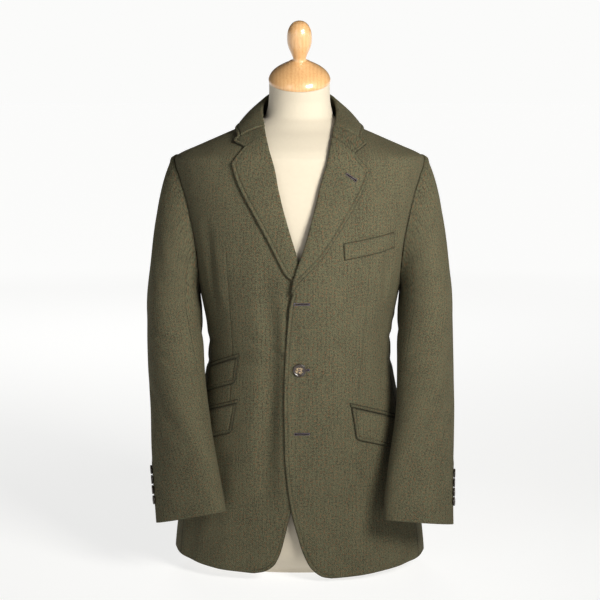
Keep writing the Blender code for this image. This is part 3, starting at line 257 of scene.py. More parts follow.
CAP_PROFILE = (
    (0.0545, 0.0), (0.0548, 0.0035), (0.0533, 0.008), (0.0506, 0.0127), (0.0466, 0.0172),
    (0.0416, 0.0213), (0.036, 0.025), (0.03, 0.0286), (0.0243, 0.0317), (0.0212, 0.0334),
    (0.02, 0.0345), (0.016, 0.0366), (0.0125, 0.0388), (0.0116, 0.0425), (0.013, 0.047),
    (0.0162, 0.0548), (0.0192, 0.0621), (0.0211, 0.0694), (0.0218, 0.078), (0.0213, 0.087),
    (0.0193, 0.0949), (0.0156, 0.102), (0.0105, 0.107), (0.005, 0.1093), (0.0, 0.11),
)
POCKETS = {
    # name: side, x and height of the front top corner, length, drop
    "flap_hip_left": (LEFT, 0.0895, 0.311, 0.138, 0.058),
    "flap_hip_right": (RIGHT, -0.108, 0.3165, 0.12, 0.053),
    "flap_ticket_right": (RIGHT, -0.105, 0.3975, 0.09, 0.046),
}
POCKET_SLANT = 0.3  # fall of a pocket mouth for each metre that it runs back
FLAP_CORNER = 0.009  # radius of a flap's front lower corner
FLAP_IN = 0.002  # how far a flap narrows in at each end towards its bottom
JET_TALL, JET_GAP, JET_REACH = 0.0075, 0.0002, 0.002
WELT_CORNERS = ((0.0745, 0.6), (0.076, 0.5705), (0.164, 0.5875), (0.163, 0.6165))

# Darts, as x and height down each front.
DARTS = {
    LEFT: ((0.121, 0.567), (0.116, 0.5), (0.1085, 0.4), (0.1016, 0.334)),
    RIGHT: ((-0.126, 0.579), (-0.1215, 0.5), (-0.117, 0.4), (-0.1225, 0.31)),
}

# Soft creases of the body, in millimetres: both ends as lengths round and up the torso, how wide
# and how deep each is (below 0 is a trough, above 0 a ridge) and how far its middle bows up.
BODY_CREASES = np.array((
    # the overlap: the under front falls back beside the top one's edge, which it carries
    (-50, 560, -48, 100, 17, -3.3, 0), (-26.5, 540, -24.5, 120, 12, 2.6, 0),
    (-48, 365, -47, 110, 15.5, -2.4, 0),
    # strain from the fastened button
    (-16, 394, -108, 440, 7.5, -1.2, 4), (-18, 368, -112, 328, 8.5, -1.1, -5),
    (-30, 382, -135, 388, 6, -0.8, 3), (18, 393, 106, 432, 8, -1.1, 5),
    (20, 369, 98, 336, 8.5, -1, -4), (32, 380, 125, 381, 6.5, -0.7, 2),
    # drags from the front of each arm
    (-162, 490, -138, 640, 10.5, -2.2, 0), (-142, 470, -120, 590, 12, 1, 0),
    (160, 485, 140, 625, 11, -1.9, 0), (143, 460, 123, 585, 13, 0.9, 0),
    # the waist under the arms
    (175, 424, 295, 410, 8, -1.7, 6), (195, 386, 325, 378, 9, -1.3, -4),
    (-168, 418, -280, 408, 8.5, -1.6, 5), (-205, 384, -335, 374, 8, -1.4, -5),
    (240, 465, 310, 440, 10, 1, 0),
    # the skirt's flares
    (76, 250, 86, -50, 17, 1.2, 0), (-100, 240, -108, -50, 18, 1.3, 0),
    (162, 290, 176, -50, 17, -2, 0), (-164, 300, -179, -50, 16, -1.8, 0),
    (260, 260, 265, -50, 20, 1.8, 0), (-265, 280, -270, -50, 19, 1.6, 0),
    (375, 330, 395, -50, 21, -2.2, 0), (-365, 310, -390, -50, 22, -2.4, 0),
    (455, 280, 465, -50, 18, 1.2, 0), (-450, 300, -458, -50, 19, 1.4, 0),
    # the back: fullness behind the arms, the shoulder blades and the waist
    (356, 640, 368, 460, 11, 2.2, 0), (384, 620, 388, 450, 12, -2, 0),
    (-360, 650, -370, 470, 11, 2, 0), (-386, 610, -392, 470, 12, -2.1, 0),
    (365, 432, 498, 420, 8.5, -1.7, 7), (385, 396, 482, 392, 9, -1.4, -4),
    (-355, 428, -490, 424, 9, -1.8, 6), (-395, 398, -495, 388, 8, -1.3, -5),
    (405, 700, 480, 660, 14, -1.2, -6), (-415, 705, -485, 655, 13, -1.2, -6),
)) / 1000

# The same for the sleeves, where the first of each end is a turn round the arm in degrees.
TURNS_AND_LENGTHS = (1, 1000, 1, 1000, 1000, 1000, 1000)
SLEEVE_CREASES = {
    LEFT: np.array((
        (35, 424, 128, 396, 8.5, -1.6, 4), (50, 388, 140, 366, 8, -2, -4),
        (62, 352, 132, 340, 7.5, -1.3, -3), (22, 660, 66, 520, 13, -1.2, 0),
        (-34, 640, 12, 470, 17, 1.2, 0), (318, 470, 246, 420, 11, -1.5, 4),
        (306, 330, 240, 362, 11, -1.4, -3), (-20, 330, 66, 225, 15, -1.1, 0),
        (30, 290, 96, 180, 14, 0.8, 0), (150, 470, 205, 400, 11, -1.4, 0),
    )) / TURNS_AND_LENGTHS,
    RIGHT: np.array((
        (28, 436, 124, 404, 8, -1.5, 5), (46, 396, 138, 372, 8.5, -2.1, -3),
        (70, 356, 136, 346, 7, -1.2, -2), (26, 650, 72, 530, 12, -1.3, 0),
        (-30, 650, 16, 450, 18, 1.3, 0), (314, 462, 244, 414, 12, -1.6, 3),
        (310, 344, 238, 370, 10, -1.2, -4), (-24, 350, 60, 240, 16, -1.2, 0),
        (24, 300, 90, 190, 15, 0.9, 0), (148, 460, 210, 392, 12, -1.5, 0),
    )) / TURNS_AND_LENGTHS,
}
TURN_LENGTH = 0.00101  # length of cloth round a sleeve for each degree


# ---- what a user may change
def linear(hex_colour):
    """An sRGB hex colour as linear red, green and blue."""
    channels = [int(hex_colour[i:i + 2], 16) / 255 for i in (1, 3, 5)]
    return tuple(c / 12.92 if c <= 0.04045 else ((c + 0.055) / 1.055) ** 2.4 for c in channels)


def a_length(name, description, default):
    return FloatProperty(name=name, description=description, default=default, min=0.0,
                         precision=5, subtype="DISTANCE", unit="LENGTH")


def a_colour(name, description, hex_colour):
    return FloatVectorProperty(name=name, description=description, default=linear(hex_colour),
                               min=0.0, max=1.0, subtype="COLOR")


class JacketSizes(PropertyGroup):
    cloth: a_length("Cloth", "Wall of the interlined tweed", 0.0026)
    trim: a_length("Trim", "Wall of the flaps, jets and breast welt", 0.0022)
    rim: a_length("Rim", "Radius at which a piece's edge is rounded", 0.0013)
    groove_in: a_length("Groove distance", "From a stitched edge to its groove", 0.0064)
    groove_deep: a_length("Groove depth", "Depth of the stitched groove", 0.0010)
    rib_high: a_length("Rib height", "How far the edge puffs up outside its groove", 0.0007)
    mesh_step: a_length("Mesh step", "Spacing of the points of a panel", 0.0056)
    stitch_pitch: a_length("Stitch pitch", "From one edge stitch to the next", 0.0046)
    stitch_long: a_length("Stitch length", "Length of an edge stitch", 0.0030)
    thread: a_length("Thread", "Thickness of the sewing thread", 0.00045)
    purl_pitch: a_length("Purl pitch", "Between two stitches of a buttonhole", 0.00085)
    column: a_length("Herringbone column", "Width of a column of the weave", 0.0072)
    twill: a_length("Twill pitch", "Between two twill lines, coarse enough to show", 0.0040)
    fold_share: FloatProperty(name="Folds", description="How strongly the creases are drawn",
                              default=1.6, min=0.0, max=3.0, subtype="FACTOR")
    seed: IntProperty(name="Seed", description="Seed of the unevenness of the stitches", default=7)


class JacketColours(PropertyGroup):
    tweed_light: a_colour("Tweed, light yarn", "Lighter yarn of the weave", "#585541")
    tweed_dark: a_colour("Tweed, dark yarn", "Darker yarn of the weave", "#2F2D22")
    rust: a_colour("Rust fleck", "Rust flecks in the yarn", "#6E4A30")
    moss: a_colour("Moss fleck", "Green flecks in the yarn", "#4A5540")
    thread: a_colour("Thread", "Edge stitching", "#4A4433")
    purl: a_colour("Purl thread", "Buttonhole sewing", "#3C3140")
    # Painted shadow: the near-black laid in a buttonhole's slit
    slit: a_colour("Slit", "Shadowed inside of a buttonhole", "#15120E")
    horn_pale: a_colour("Horn, pale", "Pale middle of the horn", "#A58E6C")
    horn_dark: a_colour("Horn, dark", "Dark blotches of the horn", "#2A2018")
    jersey: a_colour("Jersey", "Cover of the dress form", "#C4BAA7")
    beech_pale: a_colour("Beech, pale", "Early wood", "#D8B07E")
    beech_dark: a_colour("Beech, dark", "Late wood and pores", "#C48D54")
    floor: a_colour("Floor", "The plain floor", "#D9D9D8")


def sizes():
    return bpy.context.scene.jacket_sizes


def colours():
    return bpy.context.scene.jacket_colours


# ---- surfaces
def ease(t):
    """0 below 0, 1 above 1, and a soft step between."""
    t = np.clip(t, 0, 1)
    return t * t * (3 - 2 * t)


def bell(x, width):
    """1 at 0, falling off on both sides."""
    return np.exp(-(x / width) ** 2)


def unit(v):
    return v / np.maximum(np.linalg.norm(v, axis=-1, keepdims=True), 1e-12)


def torso(angle, height):
    """A point on the middle of the jacket's wall; angle 0 is the middle of the front."""
    a = np.radians(angle)
    s, c = np.sin(a), np.cos(a)
    width, square = TORSO.at("width", height), TORSO.at("square", height)
    deep = (TORSO.at("front", height) * (1 + c) + TORSO.at("back", height) * (1 - c)) / 2
    x = width * s * (1 + square * c * c)
    y = TORSO.at("middle", height) - deep * c * (1 + square * s * s)
    z = height + TORSO.at("lift", height) * np.maximum(0, -c) ** 2
    return np.stack(np.broadcast_arrays(x, y, z), -1)


def angle_at(x, height):
    """The angle at which the front of the torso has that x."""
    want = np.clip(x / TORSO.at("width", height), -1, 1)
    square = TORSO.at("square", height)
    s = want
    for _ in range(6):
        s = want / (1 + square * (1 - s * s))
    return np.degrees(np.arcsin(np.clip(s, -1, 1)))


def normals(surface, u, v, reach=0.0006):
    """Outward normals of a surface given by a function of two lengths."""
    across = surface(u + reach, v) - surface(u - reach, v)
    along = surface(u, v + reach) - surface(u, v - reach)
    return unit(np.cross(across, along))


def moved_out(surface, distance):
    """The same surface, moved out along its normals by a length or a function of its points."""
    def moved(u, v):
        point = surface(u, v)
        far = distance(point) if callable(distance) else distance
        return point + normals(surface, u, v) * np.asarray(far)[..., None]
    return moved


def height_of(v):
    """The section that lies at length v up the panel."""
    return np.where(v <= SHOULDER, v, SHOULDER + (v - SHOULDER) / SLOPE_STRETCH)


def smooth_body(u, v):
    """The torso by lengths round and up it, before it is creased."""
    return torso(np.degrees(u / ROUND), height_of(v))


def crease_height(creases, u, v, stretch=1.0):
    """How far some creases push a place out; the first coordinate may be stretched."""
    total = np.zeros(np.broadcast(u, v).shape)
    for u0, v0, u1, v1, wide, deep, bow in creases:
        du, dv = (u1 - u0) * stretch, v1 - v0
        long = math.hypot(du, dv)
        pu, pv = (u - u0) * stretch, v - v0
        t = (pu * du + pv * dv) / long ** 2
        side = (pv * du - pu * dv) / long * (1 if du >= 0 else -1)
        side = side - bow * np.sin(math.pi * np.clip(t, 0, 1))
        q = side / (wide * (0.75 + 0.5 * np.clip(t, 0, 1)))
        shape = bell(q, 1) - 0.35 * bell(q, 2.1)
        total = total + deep * 1.35 * shape * ease((t + 0.06) / 0.30) * ease((1.06 - t) / 0.36)
    return total * sizes().fold_share


def body_creases(u, v):
    """The creases of the body, also where a piece runs on past the middle of the back."""
    round_trip = 2 * math.pi * ROUND
    wrapped = (u + round_trip / 2) % round_trip - round_trip / 2
    return crease_height(BODY_CREASES, wrapped, v)


def body(u, v):
    """The creased torso by lengths round and up it."""
    u, v = np.asarray(u, float), np.asarray(v, float)
    return smooth_body(u, v) + normals(smooth_body, u, v) * body_creases(u, v)[..., None]


def at(angle, height):
    """The lengths (u, v) of a place on the torso."""
    up = height if height <= SHOULDER else SHOULDER + (height - SHOULDER) * SLOPE_STRETCH
    return (math.radians(angle) * ROUND, float(up))


def front_lift(side):
    """How far a front stands off the torso where the two fronts overlap."""
    def left(point):
        x, z = point[..., 0], point[..., 2]
        lapped = 0.0018 * ease((0.080 - x) / 0.050) * ease((0.690 - z) / 0.080)
        over_lapel = (0.0046 * ease((0.095 - np.abs(x)) / 0.070)
                      * ease((0.125 - np.abs(z - 0.540)) / 0.085))
        return lapped + over_lapel

    def right(point):
        x, z = point[..., 0], point[..., 2]
        return -0.0016 * ease((x + 0.080) / 0.050) * ease((0.690 - z) / 0.080)
    return left if side == LEFT else right


def back_lift(side):
    """How far a back stands off the torso along the vent."""
    def lift(point):
        near = ease((0.095 - np.abs(point[..., 0])) / 0.045) * (point[..., 1] > 0)
        return side * 0.0017 * near * ease((VENT_TOP + 0.050 - point[..., 2]) / 0.045)
    return lift


FRONT = {side: moved_out(body, front_lift(side)) for side in (LEFT, RIGHT)}
BACK = {side: moved_out(body, back_lift(side)) for side in (LEFT, RIGHT)}


def on_front(side, x, z):
    """The lengths (u, v) of the place on a front that has that x and z."""
    v = np.where(z <= SHOULDER, z, SHOULDER + (z - SHOULDER) * SLOPE_STRETCH)
    return np.radians(angle_at(x, z)) * ROUND, v


def lapel_surface(side):
    """The lapel by its distance out from the roll line and its height; below 0 it rolls under."""
    def surface(a, b):
        rolled = np.clip(-a / ROLL, 0, math.pi)
        out = np.where(a < 0, -ROLL * np.sin(rolled), a)
        flat = sizes().cloth + TURNED_CLEAR
        high = np.where(a < 0, ROLL * (1 + np.cos(rolled)),
                        flat + (2 * ROLL - flat) * np.exp(-np.maximum(a, 0) / 0.012))
        x = ROLL_LINES[side].at("x", b) + side * out
        u, v = on_front(side, x, b)
        return FRONT[side](u, v) + normals(FRONT[side], u, v) * high[..., None]
    return surface


LAPEL = {side: lapel_surface(side) for side in (LEFT, RIGHT)}


# ---- lines on the surfaces
PANEL_STEP, EDGE_STEP = 0.004, 0.0035  # between the points of seams and of finished edges


def lengths_along(points):
    """How far along a line of points each of them lies."""
    return np.concatenate([[0], np.cumsum(np.linalg.norm(np.diff(points, axis=0), axis=1))])


def evenly(points, step=EDGE_STEP):
    """Points about step apart along a smooth line through the given points."""
    points = np.asarray(points, float)
    far = lengths_along(points)
    line = Table("far x y", *zip(far, points[:, 0], points[:, 1]))
    fine = np.linspace(0, far[-1], 2000)
    path = np.stack([line.at("x", fine), line.at("y", fine)], 1)
    long = lengths_along(path)
    places = np.linspace(0, long[-1], max(2, int(round(long[-1] / step)) + 1))
    return np.stack([np.interp(places, long, path[:, i]) for i in (0, 1)], 1)


def straight(a, b, step=EDGE_STEP):
    """Points about step apart from a to b."""
    a, b = np.asarray(a, float), np.asarray(b, float)
    count = max(1, int(round(np.linalg.norm(b - a) / step)))
    return a + (b - a) * np.linspace(0, 1, count + 1)[:, None]


def chain(*lines):
    """The lines as one closed outline, each shared end kept once."""
    points = np.concatenate([np.asarray(line, float).reshape(-1, 2) for line in lines])
    following = np.roll(points, -1, axis=0)
    return points[np.linalg.norm(following - points, axis=1) > 1e-6]


def counter_clockwise(outline):
    """The outline, turned round if it runs clockwise."""
    x, y = outline.T
    turns = (x * np.roll(y, -1) - np.roll(x, -1) * y).sum()
    return outline if turns > 0 else outline[::-1]


def sided(side, line):
    return np.asarray(line) * (side, 1)


def armhole(first, last, step=2.5):
    """The armhole of the wearer's left as places (u, v), from one turn to another."""
    turns = np.linspace(first, last, int(round(abs(last - first) / step)) + 1)
    return np.array([at(ARMHOLE.at("angle", t), ARMHOLE.at("height", t)) for t in turns])


def hem(first, last):
    """The hem from one angle to the other."""
    count = max(1, int(round(math.radians(abs(last - first)) * ROUND / PANEL_STEP)))
    angles = np.linspace(first, last, count + 1)
    return np.stack([np.radians(angles) * ROUND, HEM.at("height", angles)], 1)


def side_seam(side, which):
    """A seam of the side body from hem to armhole."""
    angle, turn = SIDE_SEAMS[which], (FRONT_OF_ARM, BACK_OF_ARM)[which]
    start = at(angle, HEM.at("height", side * angle))
    end = at(ARMHOLE.at("angle", turn), ARMHOLE.at("height", turn))
    return sided(side, straight(start, end, PANEL_STEP))


def shoulder_seam(side):
    """The shoulder seam from the tip to the neck."""
    tip, top = (at(SHOULDER_SEAM, height) for height in (SHOULDER_TIP, NECK_SEAM))
    return sided(side, straight(tip, top, PANEL_STEP))


def far_from(points, line, closed=False):
    """The distance of each point from a line of points."""
    start = line if closed else line[:-1]
    step = (np.roll(line, -1, axis=0) if closed else line[1:]) - start
    long = np.maximum((step * step).sum(1), 1e-18)
    best = np.empty(len(points))
    for first in range(0, len(points), 1200):
        part = slice(first, first + 1200)
        gap = points[part][:, None] - start
        t = np.clip((gap * step).sum(2) / long, 0, 1)
        best[part] = np.sqrt(((gap - t[..., None] * step) ** 2).sum(2).min(1))
    return best


def inside(outline, places):
    """Whether each place is inside the outline."""
    a, b = outline, np.roll(outline, -1, axis=0)
    rise = np.where(a[:, 1] == b[:, 1], 1e-12, b[:, 1] - a[:, 1])
    hits = np.empty(len(places), bool)
    for first in range(0, len(places), 4000):
        part = slice(first, first + 4000)
        x, y = places[part, 0][:, None], places[part, 1][:, None]
        spans = (a[:, 1] > y) != (b[:, 1] > y)
        crossing = a[:, 0] + (y - a[:, 1]) * (b[:, 0] - a[:, 0]) / rise
        hits[part] = (spans & (x < crossing)).sum(1) % 2 == 1
    return hits


def beside(line, distances, closed=False):
    """Places at each distance on both sides of a line."""
    if closed:
        along = np.roll(line, -1, axis=0) - np.roll(line, 1, axis=0)
    else:
        along = np.gradient(line, axis=0)
    across = unit(np.stack([-along[:, 1], along[:, 0]], 1))
    return [(d, np.concatenate([line + across * d, line - across * d])) for d in distances]


# ---- shells of cloth
RIM_RINGS = (0.0005, 0.0012, 0.0026)  # rows of points that round a piece's edge
GROOVE_RINGS = (-0.0024, -0.0011, -0.0005, 0.0, 0.0005, 0.0012, 0.0028)  # across the groove
CREASE_RINGS = (0.0004, 0.0011, 0.0024)  # rows beside a dart
RIM_CLEAR = 0.0045  # room that the even points leave inside the edge
SAME_PLACE = 0.00022  # points as near as this become one
SAME_IN_FOLD = 0.00015  # the same where a lapel folds
FOLD_CLEAR = 0.002  # room beside the rows of that fold
DART_DEEP, DART_WIDE = 0.0007, 0.0009
RUNS = {}  # the stitched grooves of each piece, for the stitches
EDGES = {}  # the stitched edges of the lapels, for what lies on them


def rounded(edge, wall):
    """Half the wall at a distance from the piece's edge, thinned to a round rim."""
    near = np.clip(edge / sizes().rim, 0, 1)
    return wall / 2 * (0.22 + 0.78 * np.sqrt(1 - (1 - near) ** 2))


def swell(far):
    """Height of the cloth at a distance from a stitched edge: a puffed rib, then the groove."""
    size = sizes()
    groove = size.groove_in
    rib = size.rib_high * bell(far - groove * 0.5, groove * 0.33)
    soft = 0.3 * size.rib_high * bell(far - groove * 1.5, groove * 0.3)
    return rib + soft - size.groove_deep * bell(far - groove, 0.0010)


def stitched_shade(away, edge):
    """Painted shade along a stitched groove, and a painted shadow along the edge outside it."""
    return np.maximum(0.45 * bell(away - sizes().groove_in, 0.0008), bell(edge, 0.0012))


def triangulated(places, rim, edges=()):
    """Triangles over places, of which the first rim ones are the outline, and along edges."""
    made = delaunay_2d_cdt([Vector(p) for p in places], list(edges), [list(range(rim))], 1, 1e-7)
    flat = np.array([tuple(p) for p in made[0]])
    faces = np.array([f for f in made[2]])
    a, b, c = (flat[faces[:, i]] for i in range(3))
    turn = (b[:, 0] - a[:, 0]) * (c[:, 1] - a[:, 1]) - (b[:, 1] - a[:, 1]) * (c[:, 0] - a[:, 0])
    faces[turn < 0] = faces[turn < 0][:, ::-1]
    return flat, [tuple(int(i) for i in f) for f in faces]


def filled(outline, finished, creases, step):
    """Triangles that fill an outline, with closer points at its rim, groove and darts."""
    low, high = outline.min(0), outline.max(0)
    row = step * 0.866
    i, j = np.meshgrid(np.arange(int((high[0] - low[0]) / step) + 2),
                       np.arange(int((high[1] - low[1]) / row) + 2))
    grid = np.stack([low[0] + (i + 0.5 * (j % 2)) * step, low[1] + j * row], -1).reshape(-1, 2)
    grid = grid[inside(outline, grid)]
    grid = grid[far_from(grid, outline, closed=True) > RIM_CLEAR]
    kept = [places[far_from(places, outline, closed=True) > 0.9 * d]
            for d, places in beside(outline, RIM_RINGS, closed=True)]
    if finished is not None:
        kept += [places[far_from(places, finished) > 0.98 * d] for d, places in beside(
            finished, [sizes().groove_in + ring for ring in GROOVE_RINGS])]
        grid = grid[far_from(grid, finished) > sizes().groove_in + GROOVE_RINGS[-1] + 0.35 * step]
    for crease in creases:
        kept += [crease, *(places for _, places in beside(crease, CREASE_RINGS))]
        grid = grid[far_from(grid, crease) > CREASE_RINGS[-1] + 0.3 * step]
    places = np.concatenate(kept)
    places = places[inside(outline, places)]
    places = places[far_from(places, outline, closed=True) > 0.9 * RIM_RINGS[0]]
    places = np.concatenate([places, grid])
    keys = np.round(places / SAME_PLACE).astype(int)
    places = places[np.unique(keys, axis=0, return_index=True)[1]]
    return triangulated(np.concatenate([outline, places]), len(outline))


def new_object(name, data):
    """An object of that data, in the scene."""
    made = bpy.data.objects.new(name, data)
    bpy.context.scene.collection.objects.link(made)
    return made


def new_mesh(name, points, faces, stuff, uv=None, shades=None, smooth=180):
    """An object from points and faces, with its UV map and its point shades."""
    mesh = bpy.data.meshes.new(name)
    mesh.from_pydata((np.asarray(points) + SHIFT).tolist(), [], faces)
    if uv is not None:
        corner = np.empty(len(mesh.loops), int)
        mesh.loops.foreach_get("vertex_index", corner)
        layer = mesh.uv_layers.new(name="cloth")
        layer.data.foreach_set("uv", np.asarray(uv, float)[corner].ravel())
    for key, values in (shades or {}).items():
        layer = mesh.attributes.new(key, "FLOAT", "POINT")
        layer.data.foreach_set("value", np.asarray(values, float))
    mesh.materials.append(stuff)
    mesh.shade_smooth()
    if smooth < 180:
        mesh.set_sharp_from_angle(angle=math.radians(smooth))
    return new_object(name, mesh)


def shell(name, middle, faces, out, rise, half, stuff, uv, groove):
    """A closed shell: the outer skin at rise, the inner one at half, both over the middle."""
    count = len(middle)
    points = np.concatenate([middle + out * rise[:, None], middle - out * half[:, None]])
    edges = {edge: True for f in faces for edge in zip(f, f[1:] + f[:1])}
    rim = [(a, b) for a, b in edges if (b, a) not in edges]
    skin = list(faces) + [tuple(i + count for i in reversed(f)) for f in faces]
    skin += [(a, a + count, b + count, b) for a, b in rim]
    # The point attribute groove carries the painted shade to the tweed's colour
    shades = {"groove": np.concatenate([groove, groove])}
    return new_mesh(name, points, skin, stuff, np.concatenate([uv, uv]), shades)


def stitch_run(name, line, middle, out, wall):
    """Keeps the places in the groove along a stitched edge, and the outward direction at each."""
    tree = KDTree(len(middle))
    for i, p in enumerate(middle):
        tree.insert(p, i)
    tree.balance()
    along = unit(np.gradient(line, axis=0))
    near = np.array([tree.find(p)[1] for p in line])
    across = unit(np.cross(out[near], along)) * sizes().groove_in
    misses = [np.median([tree.find(p)[2] for p in line + across * s]) for s in (1, -1)]
    places = line + across * (1 if misses[0] < misses[1] else -1)
    places = places[far_from(places, line) > 0.97 * sizes().groove_in]
    near = np.array([tree.find(p)[1] for p in places])
    up = out[near]
    places = places - ((places - middle[near]) * up).sum(1)[:, None] * up
    RUNS[name] = (places + up * (wall / 2 + swell(sizes().groove_in)), up)


def surface_area(points, faces):
    """The area of faces of three or four corners."""
    area = 0.0
    for size in (3, 4):
        some = np.array([f for f in faces if len(f) == size], int)
        for i in range(2, size) if len(some) else ():
            first, before, after = (points[some[:, corner]] for corner in (0, i - 1, i))
            area += np.linalg.norm(np.cross(before - first, after - first), axis=1).sum() / 2
    return float(area)


NARROWEST_CUT = 0.0101  # the least width or length given to a piece's flat cut


def declare_cloth(piece, node, middle, faces, uv):
    """Works out the piece's area and flat cut, hangs the piece from the root and hides the solid
    that it stands for.
    """
    area = surface_area(middle, faces)
    wide, long = np.maximum(np.ptp(uv, axis=0), NARROWEST_CUT)
    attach(piece, "root")
    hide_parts(node)


def body_grain(u, v):
    """Weave coordinates of a body panel: true lengths round and up."""
    return np.stack([u * TORSO.at("width", height_of(v)) / ROUND, v], 1)


def slanted_grain(degrees):
    """Weave coordinates turned from the upright by an angle."""
    c, s = math.cos(math.radians(degrees)), math.sin(math.radians(degrees))
    return lambda u, v: np.stack([u * c - v * s, u * s + v * c], 1)


def sewn(name, middle, faces, out, rise, half, uv, groove):
    """The shell of a cut piece of tweed, hung from the root in place of its solid."""
    piece = shell(name, middle, faces, out, rise, half, herringbone_tweed(), uv, groove)
    declare_cloth(piece, name.lower(), middle, faces, uv)


def cloth_panel(name, outline, surface, finished=None, creases=(), wall=None,
                grain=body_grain, puff=0.0, painted_edge_shade=0.55):
    """A flat outline, filled and laid on a surface, as a shell of cloth with sewn edges, and painted
    shade along its edges, stitched groove and darts.
    """
    wall = wall or sizes().cloth
    outline = counter_clockwise(outline)
    flat, faces = filled(outline, finished, creases, sizes().mesh_step * (1))
    u, v = flat.T
    middle, out = surface(u, v), normals(surface, u, v)
    edge = far_from(middle, surface(*outline.T), closed=True)
    half = rounded(edge, wall)
    # Painted shadow along the piece's own edge, darker and wider for pieces that lie on others
    groove = painted_edge_shade * bell(edge, 0.0006 + 0.0016 * painted_edge_shade)
    rise = half + puff * (1 - bell(edge, 0.0022))
    if finished is not None:
        stitched = surface(*finished.T)
        away = far_from(middle, stitched)
        rise = rise + swell(away)
        groove = np.maximum(groove, stitched_shade(away, away))
        stitch_run(name, stitched, middle, out, wall)
    for crease in creases:
        near = bell(far_from(middle, surface(*crease.T)), DART_WIDE)
        rise = rise - DART_DEEP * near
        # Painted shade in the dart's crease
        groove = np.maximum(groove, 0.25 * near)
    sewn(name, middle, faces, out, rise, half, grain(u, v), groove)


def grid_faces(down, along):
    """The faces of a grid of points given row by row."""
    i, j = np.meshgrid(np.arange(down - 1), np.arange(along - 1), indexing="ij")
    first = (i * along + j).ravel()
    return [tuple(int(n) for n in f) for f in np.stack([first, first + 1, first + along + 1,
                                                        first + along], 1)]


def grid_normals(rows):
    """Normals of a grid of points, from its neighbours."""
    return unit(np.cross(np.gradient(rows, axis=1), np.gradient(rows, axis=0)))


def grid_piece(name, rows, out, uv, stitched=None, ditch=None, pressed=1.0):
    """A grid of points as a shell of cloth; seams pressed flat keep a narrower rim at its sides,
    and only the points in the ditch swell beside a stitched edge."""
    down, along = rows.shape[:2]
    middle, out, uv = rows.reshape(-1, 3), out.reshape(-1, 3), uv.reshape(-1, 2)
    faces = grid_faces(down, along)
    corner = middle[list(faces[len(faces) // 2])]
    normal = np.cross(corner[2] - corner[0], corner[3] - corner[1])
    if normal @ out[faces[len(faces) // 2][0]] < 0:
        faces = [f[::-1] for f in faces]
    wall = sizes().cloth
    edge = np.min([far_from(middle, line) * share for line, share in (
        (rows[0], 1.0), (rows[-1], 1.0), (rows[:, 0], pressed), (rows[:, -1], pressed))], axis=0)
    half = rounded(edge, wall)
    rise = half
    # Painted shade along the edges and seams of the piece
    groove = 0.55 * bell(edge, 0.0007)
    if stitched is not None:
        allowed = ditch.ravel()
        away = np.where(allowed, far_from(middle, stitched), 1.0)
        rise = rise + swell(away)
        groove = np.maximum(groove, stitched_shade(away, away))
        stitch_run(name, stitched, middle[allowed], out[allowed], wall)
    sewn(name, middle, faces, out, rise, half, uv, groove)


# ---- materials
def add_node(tree, kind, inputs=(), **settings):
    """Adds a node with its settings; an input is a value, a socket or a node to link to it."""
    made = tree.nodes.new(kind)
    for key, value in settings.items():
        setattr(made, key, value)
    for key, value in dict(inputs).items():
        if isinstance(value, bpy.types.Node):
            value = value.outputs[0]
        if isinstance(value, bpy.types.NodeSocket):
            tree.links.new(value, made.inputs[key])
        else:
            made.inputs[key].default_value = value
    return made


def math_node(tree, operation, *values):
    return add_node(tree, "ShaderNodeMath", enumerate(values), operation=operation)


def mix_colours(tree, share, a, b):
    """A colour between two others."""
    return add_node(tree, "ShaderNodeMix", {0: share, 6: a, 7: b}, data_type="RGBA").outputs[2]


def stepped(tree, value, low, high, to=1.0):
    """0 below low and to above high."""
    return add_node(tree, "ShaderNodeMapRange", {0: value, 1: low, 2: high, 3: 0.0, 4: to})


def added(tree, tone, part, weight):
    """A tone with the weighed part added to it."""
    return math_node(tree, "ADD", tone, math_node(tree, "MULTIPLY", part, weight))


def noise(tree, place, scale, detail=2.0, distortion=0.0, **settings):
    """Unevenness, finer with a larger scale."""
    return add_node(tree, "ShaderNodeTexNoise", {
        "Vector": place, "Scale": scale, "Detail": detail, "Distortion": distortion}, **settings)


def object_place(tree):
    return add_node(tree, "ShaderNodeTexCoord").outputs["Object"]


def cloth_place(tree):
    """The place on the cloth, in metres across and up it: the whole of it, and each alone."""
    uv = add_node(tree, "ShaderNodeUVMap", uv_map="cloth").outputs[0]
    return uv, *add_node(tree, "ShaderNodeSeparateXYZ", {0: uv}).outputs[:2]


def feed(shader, key, value):
    """Links a socket, or a node's first output, to an input of the shader."""
    shader.id_data.links.new(getattr(value, "outputs", [value])[0], shader.inputs[key])


def bumped(shader, height, strength, distance):
    """Gives the shader a relief; the distance is in metres."""
    feed(shader, "Normal", add_node(shader.id_data, "ShaderNodeBump", {
        "Height": height, "Strength": strength, "Distance": distance}))


def rgba(colour, share=1.0):
    """The colour, darkened to a share of itself, with its alpha."""
    return (*(c * share for c in colour), 1.0)


def new_material(name, **finish):
    """A Principled material with its uniform values set on the shader's own sockets."""
    made = bpy.data.materials.new(name)
    made.use_nodes = True
    shader = made.node_tree.nodes["Principled BSDF"]
    for key, value in finish.items():
        shader.inputs[key.replace("_", " ").title().replace("Ior", "IOR")].default_value = value
    return made, made.node_tree, shader


def once(make):
    """Makes a material the first time that it is asked for."""
    def get():
        return bpy.data.materials.get(make.__name__) or make()
    return get


